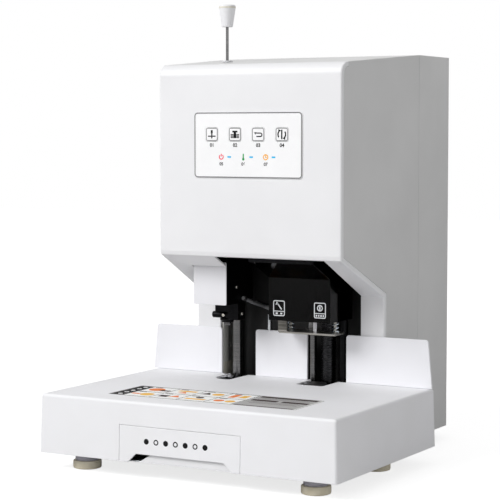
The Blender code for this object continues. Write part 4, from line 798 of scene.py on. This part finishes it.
# how far up the first start begins, how deep it is sunk, and its corners as shares of the pitch
ridgeForm = {"begins": 5.5, "sunk": 0.3, "foot": 0.72, "crestTop": 0.52, "crestLow": 0.2}


def screwCore(core, crest, ends):
    low, high, end, journal = (ends[key] for key in ("low", "high", "end", "journal"))
    chamfer, land, shoulder, tip = (ends[key] for key in ("chamfer", "land", "shoulder", "tip"))
    return [(0, low), (crest - chamfer, low), (crest, low + chamfer), (crest, low + land),
            (core, low + shoulder), (core, high - shoulder), (crest, high - land), (crest, high - chamfer),
            (crest - chamfer, high), (journal, high), (journal, end - tip), (journal - tip, end), (0, end)]


def ridge(values, begins, turns, form):  # one start of the thread, round the upright axis
    bm = bmesh.new()
    pitch, foot = values["lead"] / values["starts"], values["core"] - form["sunk"]
    section = [(foot, 0), (foot, pitch * form["foot"]), (values["crest"], pitch * form["crestTop"]),
               (values["crest"], pitch * form["crestLow"])]
    corners = [bm.verts.new((radius / 1000, 0, (begins + rise) / 1000)) for radius, rise in section]
    face = bm.faces.new(corners)
    steps = round(turns * values["steps"])
    bmesh.ops.spin(bm, geom=corners + list(face.edges) + [face], cent=(0, 0, 0), axis=(0, 0, 1),
                   dvec=(0, 0, turns * values["lead"] / 1000 / steps), angle=turns * 2 * math.pi, steps=steps,
                   use_duplicate=False)
    bmesh.ops.recalc_face_normals(bm, faces=bm.faces)
    return bm


for head, values in leadScrews.items():
    spot, lead = (*values["centre"], 0), values["lead"]
    bm = turned(screwCore(values["core"], values["crest"], screwEnds), spot, 40)
    turns = (screwEnds["high"] - screwEnds["low"] - 2 * ridgeForm["begins"] - lead) / lead
    for start in range(values["starts"]):
        begins = screwEnds["low"] + ridgeForm["begins"] + start * lead / values["starts"]
        stamp(bm, ridge(values, begins, turns, ridgeForm), Matrix.Translation(Vector(spot) / 1000))
    finishPiece(bm, head + "LeadScrew", "rolledThread", head + "_screw",
                [head + "_lead_screw"], outward=False)
print("lead screws threaded")

# Feet: a moulded rubber pad under a plastic disc
feet = {
    "nodes": ["front_left_foot", "front_right_foot", "middle_left_foot", "middle_right_foot"],
    "centres": [(side * 167, y) for y in (-201.5, -31.5) for side in (-1, 1)],
    "pad": [(0, 3.4), (6.4, 3.4), (6.9, 0), (16.4, 0), (17.9, 0.6), (18.5, 2.0), (18.5, 8.8), (18.1, 10.1),
            (17.2, 10.6), (0, 10.6)],
    "disc": [(0, 10.5), (14.8, 10.5), (14.8, 11.3), (15.6, 11.9), (15.6, 20.9), (15.0, 21.7), (0, 21.7)],
}
pads, discs = bmesh.new(), bmesh.new()
for centre in feet["centres"]:
    stamp(pads, turned(feet["pad"], (*centre, 0), 56))
    stamp(discs, turned(feet["disc"], (*centre, 0), 56))
finishPiece(pads, "footRubbers", "beigeRubber", "root", feet["nodes"], smooth=40)
finishPiece(discs, "footDiscs", "greyFootDisc", "root", smooth=40)

# Knob of the tube rod, turned with a pale rim
knob = {
    "centre": (-82, 15.5, 0), "steps": 72,
    "body": [(0, 596.3), (2.35, 596.3), (2.35, 578), (6.9, 578), (7.4, 578.3), (7.6, 579.0), (11.2, 602.4),
             (11.45, 603.6), (11.45, 605.9), (11.1, 606.9), (10.2, 607.7), (8.9, 608.0), (0, 608.0)],
    "rim": [(11.2, 603.0), (11.5, 603.2), (11.55, 604.2), (11.55, 605.6), (11.3, 606.2), (11.0, 606.0),
            (11.2, 603.0)],
}
for part, name, finish, replaced in (("body", "knobBody", "baseMouldedAbs", ["rod_knob"]),
                                     ("rim", "knobRim", "creamAbs", [])):
    form = turned(knob[part], knob["centre"], knob["steps"])
    finishPiece(form, name, finish, "rod", replaced)

# Dies: the heated one over the fixed one, and the clamp rod across the upper one's holder
dies = {
    "centre": (-82, 15.5, 0), "steps": 56,
    "collar": [(2.4, 174.2), (8.2, 174.2), (8.7, 174.7), (8.7, 176.2), (9.9, 176.6), (10.4, 177.1),
               (10.4, 179.2), (9.8, 179.8), (4.0, 179.8), (4.0, 185.8), (2.4, 185.8), (2.4, 174.2)],
    "tip": [(2.4, 169.3), (4.4, 169.3), (5.1, 169.7), (5.5, 170.6), (5.5, 172.2), (5.1, 172.5), (5.1, 173.0),
            (5.5, 173.3), (5.5, 174.3), (2.4, 174.3), (2.4, 169.3)],
    "lower": [(0, 84.3), (11, 84.3), (11, 93.2), (10.4, 93.8), (5.5, 93.8), (5.5, 96.1), (8.4, 96.1),
              (8.8, 96.5), (8.8, 98.7), (8.4, 99.1), (6.3, 99.1), (6.0, 98.7), (5.5, 98.9), (5.5, 101.3),
              (5.1, 101.8), (3.9, 101.8), (3.3, 101.1), (1.9, 101.1), (1.5, 101.8), (0, 101.8)],
    "rod": [(0, 0), (3.9, 0), (4.5, 0.6), (4.5, 29.5), (3.9, 30.1), (0, 30.1)],
    "rodSpot": (-100.5, 8.6, 184.4),
}
for part, name, finish, slot, body, replaced in (
        ("collar", "dieCollar", "blackOxide", "polished_steel", "rivet_head", ["upper_die"]),
        # the tip takes the darkened shaft steel: painted shade for the dark recess it reflects
        ("tip", "dieTip", "shaftSteelPaintedShade", "polished_steel", "rivet_head", []),
        ("lower", "lowerDieForm", "hardChrome", "bare_steel", "root", ["lower_die"])):
    finishPiece(turned(dies[part], dies["centre"], dies["steps"]), name, finish, body, replaced)
finishPiece(turned(dies["rod"], dies["rodSpot"], 32, (1, 0, 0)), "dieClampRod", "blackOxide",
            "rivet_head")

# Trim of the recess: folded edge and low bracket on the left, edge of the drill bay, rail over the smoked
# cover, and the brushed face of the press plate's tab
linings = {
    # the folded edge and the low bracket carry painted light in their pale coats
    "leftFlange": ((-105.3, 42.4, 86), (-104.1, 56.5, 296), "foldCoatPaintedLight", "dark_grey_paint", "root"),
    "lowBracket": ((-105.3, 42.6, 86), (-103.8, 66, 113.8), "bracketCoatPaintedLight", "dark_grey_paint", "root"),
    "bayEdge": ((-48.2, 69.6, 86), (-44.4, 72.1, 181), "brightZinc", "zinc_steel", "root"),
    "guardRail": ((-0.4, -70.38, 265.2), (93.4, -66.8, 272.0), "blackOxide", "black_steel", "root"),
    "tabFacing": ((6.3, -0.95, 169.5), (19.0, -0.4, 197.5), "brushedTab", "bare_steel", "press"),
}
for name, (low, high, finish, slot, body) in linings.items():
    softenEdges(finishPiece(block(low, high), name, finish, body), 0.2)

# Heater lead's first stretch, from a clip on the carriage's side to the lead that stays
leadRun = {
    "radius": 2.45,
    "path": [(-51.2, 5.0, 209.2), (-51.2, 9.0, 208.3), (-51.2, 14.0, 206.8), (-51.2, 19.0, 205.2),
             (-51.2, 24.0, 203.6), (-51.2, 30.0, 201.6), (-51.2, 36.0, 199.8), (-51.2, 42.0, 198.2),
             (-51.2, 48.0, 196.7), (-51.2, 54.0, 195.2), (-51.2, 59.0, 194.1), (-50.9, 62.5, 193.3),
             (-49.8, 65.8, 192.5), (-47.5, 68.1, 191.8), (-43.5, 69.1, 190.8)],
    "clip": [(2.3, -2.6), (3.3, -2.6), (3.5, -2.4), (3.5, 2.4), (3.3, 2.6), (2.3, 2.6), (2.3, -2.6)],
    "clipSpot": (-51.2, 8.0, 208.5), "clipFacing": (0, 1, -0.25),
    "stays": (-0.0435, 0.0691, 0.1908), "follows": (-0.0512, 0.013, 0.2071),  # metres
}


def tubeAlong(path, radius, sides=16):  # a ring carried along a line of points
    bm = bmesh.new()
    rings = []
    for count, spot in enumerate(path):
        ahead = Vector(path[min(count + 1, len(path) - 1)]) - Vector(path[max(count - 1, 0)])
        ring = bmesh.ops.create_circle(bm, cap_ends=False, radius=radius / 1000, segments=sides)["verts"]
        bmesh.ops.transform(bm, matrix=placed(spot, ahead), verts=ring)
        rings.append(list({edge for vert in ring for edge in vert.link_edges}))
    for lower, upper in zip(rings, rings[1:]):
        bmesh.ops.bridge_loops(bm, edges=lower + upper)
    bmesh.ops.holes_fill(bm, edges=rings[0] + rings[-1])
    return bm


lead = finishPiece(tubeAlong(leadRun["path"], leadRun["radius"]), "leadRun", "leadSheath",
                   None)
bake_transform(lead)
finishPiece(turned(leadRun["clip"], leadRun["clipSpot"], 32, leadRun["clipFacing"]), "leadClip", "blackNylon",
            "rivet_head")

# Gland that takes the far end of the heater lead: body, collar round the lead and its screw
leadGland = {
    "low": (-12.6, 65.4, 176.6), "high": (-3.4, 71.8, 187.4), "soft": 0.8,
    "collar": [(2.5, 0), (3.5, 0), (3.9, 0.4), (3.9, 2.6), (2.5, 2.6), (2.5, 0)],
    "entry": (-14.6, 69.2, 183.6), "along": (1, 0, -0.2), "screw": ((-6.2, 65.5, 182), (0, -1, 0), 1.5, 0.9),
}
gland = block(leadGland["low"], leadGland["high"])
softenEdges(finishPiece(gland, "glandBody", "blackNylon", "root"), leadGland["soft"])
collar = turned(leadGland["collar"], leadGland["entry"], 32, leadGland["along"])
finishPiece(collar, "glandCollar", "blackNylon", "root")
finishPiece(screwHead(*leadGland["screw"]), "glandScrew", "nickelPlate", "root")

# Lens of the line laser, and the knurled sleeve of the chuck
laserLens = {
    "centre": (71.7, 15.5, 0),
    "ring": [(1.6, 243.9), (3.7, 243.9), (4.1, 243.5), (3.9, 243.1), (2.1, 243.1), (1.6, 243.4),
             (1.6, 243.9)],
    "glass": [(0, 243.9), (1.7, 243.9), (1.7, 243.5), (1.1, 243.2), (0, 243.1)],
}
for part, name, finish, steps in (("ring", "laserRing", "milledAluminium", 40),
                                  ("glass", "laserGlass", "redInk", 32)):
    form = turned(laserLens[part], laserLens["centre"], steps)
    finishPiece(form, name, finish, "drill_head")
chuckSleeve = {
    "centre": (53.5, 15.5, 0), "flutes": 36, "depth": 0.4, "fluted": 11.0,  # radius from which it is fluted
    "profile": [(10.6, 243.0), (11.2, 243.6), (11.2, 256.0), (10.6, 256.6), (10.6, 243.0)],
}
bm = turned(chuckSleeve["profile"], steps=2 * chuckSleeve["flutes"])
for vert in bm.verts:
    turn = math.atan2(vert.co.y, vert.co.x) / math.pi * chuckSleeve["flutes"]
    if round(turn) % 2 and vert.co.xy.length > chuckSleeve["fluted"] / 1000:
        vert.co.xy -= vert.co.xy.normalized() * chuckSleeve["depth"] / 1000
bmesh.ops.translate(bm, vec=Vector(chuckSleeve["centre"]) / 1000, verts=bm.verts)
finishPiece(bm, "chuckSleeve", "blackOxide", "drill_tool", smooth=20)

# Mains inlet: its screws on both sides, and three flat contact pins
inlet = {"centre": (-95, 70), "screwsOut": 19.5, "pinsApart": 7, "pinHalf": (1.15, 2.15),
         "pinDepth": (224.2, 238.1), "pinSoft": 0.6}
# Screws: finish, slot, body, facing, radius and rise of the head, and places
screws = {
    "headSideScrews": ("nickelPlate", "black_steel", "rivet_head", (1, 0, 0), 2.4, 1.4,
                       [(-54.05, -8.3, 225.3), (-54.05, 6.6, 187.7)]),
    "clampScrew": ("nickelPlate", "black_steel", "rivet_head", (0, -1, 0), 2.3, 1.2, [(-82, 4.3, 184.4)]),
    "rearScrews": ("brightZinc", "zinc_steel", "root", (0, 1, 0), 3.4, 2.1,
                   [(side * 137, 241.45, z) for side in (-1, 1) for z in (34, 278, 524)]),
    "basePlateScrews": ("brightZinc", "zinc_steel", "root", (0, 0, -1), 2.9, 1.7,
                        [(side * 196, y, 22.05) for side in (-1, 1) for y in (-226, -116, 28)]),
    "columnScrews": ("brightZinc", "zinc_steel", "root", (0, 0, -1), 3.2, 1.9,
                     [(side * 118, y, 16.55) for side in (-1, 1) for y in (70, 222)]),
    "footScrews": ("brightZinc", "zinc_steel", "root", (0, 0, -1), 3.6, 1.9,
                   [(x, y, 3.45) for x, y in feet["centres"]]),
    "inletScrews": ("blackOxide", "zinc_steel", "root", (0, 1, 0), 2.4, 1.4,
                    [(inlet["centre"][0] + side * inlet["screwsOut"], 241.45, inlet["centre"][1])
                     for side in (-1, 1)]),
}
for name, (finish, slot, body, facing, radius, rise, places) in screws.items():
    bm = bmesh.new()
    for spot in places:
        stamp(bm, screwHead(spot, facing, radius, rise))
    finishPiece(bm, name, finish, body)

# Contact pins, and the marks on the two halves of the rocker
pins = bmesh.new()
(x, z), (halfWide, halfHigh), (front, back) = inlet["centre"], inlet["pinHalf"], inlet["pinDepth"]
for side in (-1, 0, 1):
    pinX = x + side * inlet["pinsApart"]
    stamp(pins, block((pinX - halfWide, front, z - halfHigh), (pinX + halfWide, back, z + halfHigh)))
softenEdges(finishPiece(pins, "inletPins", "pinBrass", "root"), inlet["pinSoft"])
# place in metres, degrees that the half leans, and mark
rockerMarks = {
    "rockerBar": ((-0.095, 0.23770, 0.1180), 0, ("bar", 0, 0, 1.0, 4.2)),
    "rockerRing": ((-0.095, 0.23945, 0.1082), 20, ("disc", 0, 0, 4.4, 4.4, {"line": 0.9})),
}
rearward = Matrix.Rotation(math.pi, 4, "Z") @ upright
for name, (spot, lean, mark) in rockerMarks.items():
    face = Matrix.Translation(spot) @ Matrix.Rotation(math.radians(lean), 4, "X") @ rearward
    printPiece(name, "whiteInk", face, [mark], "rocker")
print("small parts placed")

camera = bpy.data.objects.new("camera", bpy.data.cameras.new("camera"))
camera.location = view["place"]
camera.rotation_euler = Euler((math.radians(90 - view["lowered"]), 0, math.radians(view["turned"])))
camera.data.lens = view["lens"]
camera.data.sensor_width = view["sensor"]
camera.data.sensor_fit = "HORIZONTAL"
scene.collection.objects.link(camera)
scene.camera = camera

for name, values in lamps.items():
    lamp = bpy.data.objects.new(name, bpy.data.lights.new(name, "AREA"))
    lamp.data.shape = "DISK"
    lamp.data.size = values["across"]
    lamp.data.energy = values["power"]
    turn, rise = math.radians(values["round"]), math.radians(values["up"])
    away = Vector((math.sin(turn) * math.cos(rise), -math.cos(turn) * math.cos(rise), math.sin(rise)))
    lamp.location = Vector(light["aim"]) + away * values["away"]
    lamp.rotation_euler = away.to_track_quat("Z", "Y").to_euler()
    scene.collection.objects.link(lamp)

scene.world = bpy.data.worlds.new("studio")
scene.world.use_nodes = True
skyTree = scene.world.node_tree
rays = addNode(skyTree, "LightPath")
seen = rays.outputs["Is Camera Ray"]
for kind in ("Is Glossy Ray", "Is Transmission Ray"):
    either = addNode(skyTree, "Math", {"operation": "MAXIMUM"}, {0: seen, 1: rays.outputs[kind]})
    seen = either.outputs["Value"]
heading = addNode(skyTree, "TexCoord")
height = addNode(skyTree, "SeparateXYZ", links={"Vector": heading.outputs["Generated"]})
fade = addNode(skyTree, "MapRange", {"To Min": light["sky"], "To Max": light["overhead"]},
               {"Value": height.outputs["Z"]})
strength = addNode(skyTree, "MapRange", {"To Max": light["backdrop"]},
                   {"Value": seen, "To Min": fade.outputs["Result"]})
background = skyTree.nodes["Background"]
background.inputs["Color"].default_value = (1, 1, 1, 1)
skyTree.links.new(strength.outputs["Result"], background.inputs["Strength"])

bm = bmesh.new()
bmesh.ops.create_grid(bm, x_segments=1, y_segments=1, size=light["floorSize"] / 2)
floorMesh = bpy.data.meshes.new("studioFloor")
bm.to_mesh(floorMesh)
bm.free()
floor = bpy.data.objects.new("studioFloor", floorMesh)
scene.collection.objects.link(floor)
floorMaterial, floorTree, floorShader, floorPlace = startMaterial("paperSweep", light["floorColour"], 0.9)
mottle(floorTree, floorShader, floorPlace, *light["floorTones"], light["floorPatch"])
floorRays = addNode(floorTree, "LightPath")
glow = addNode(floorTree, "MapRange", {"To Min": 0.0, "To Max": light["floorGlow"]},
               {"Value": floorRays.outputs["Is Camera Ray"]})
floorShader.inputs["Emission Color"].default_value = (1, 1, 1, 1)
floorTree.links.new(glow.outputs["Result"], floorShader.inputs["Emission Strength"])
floorMesh.materials.append(floorMaterial)

scene.view_settings.view_transform = "Standard"
print("camera and light set")
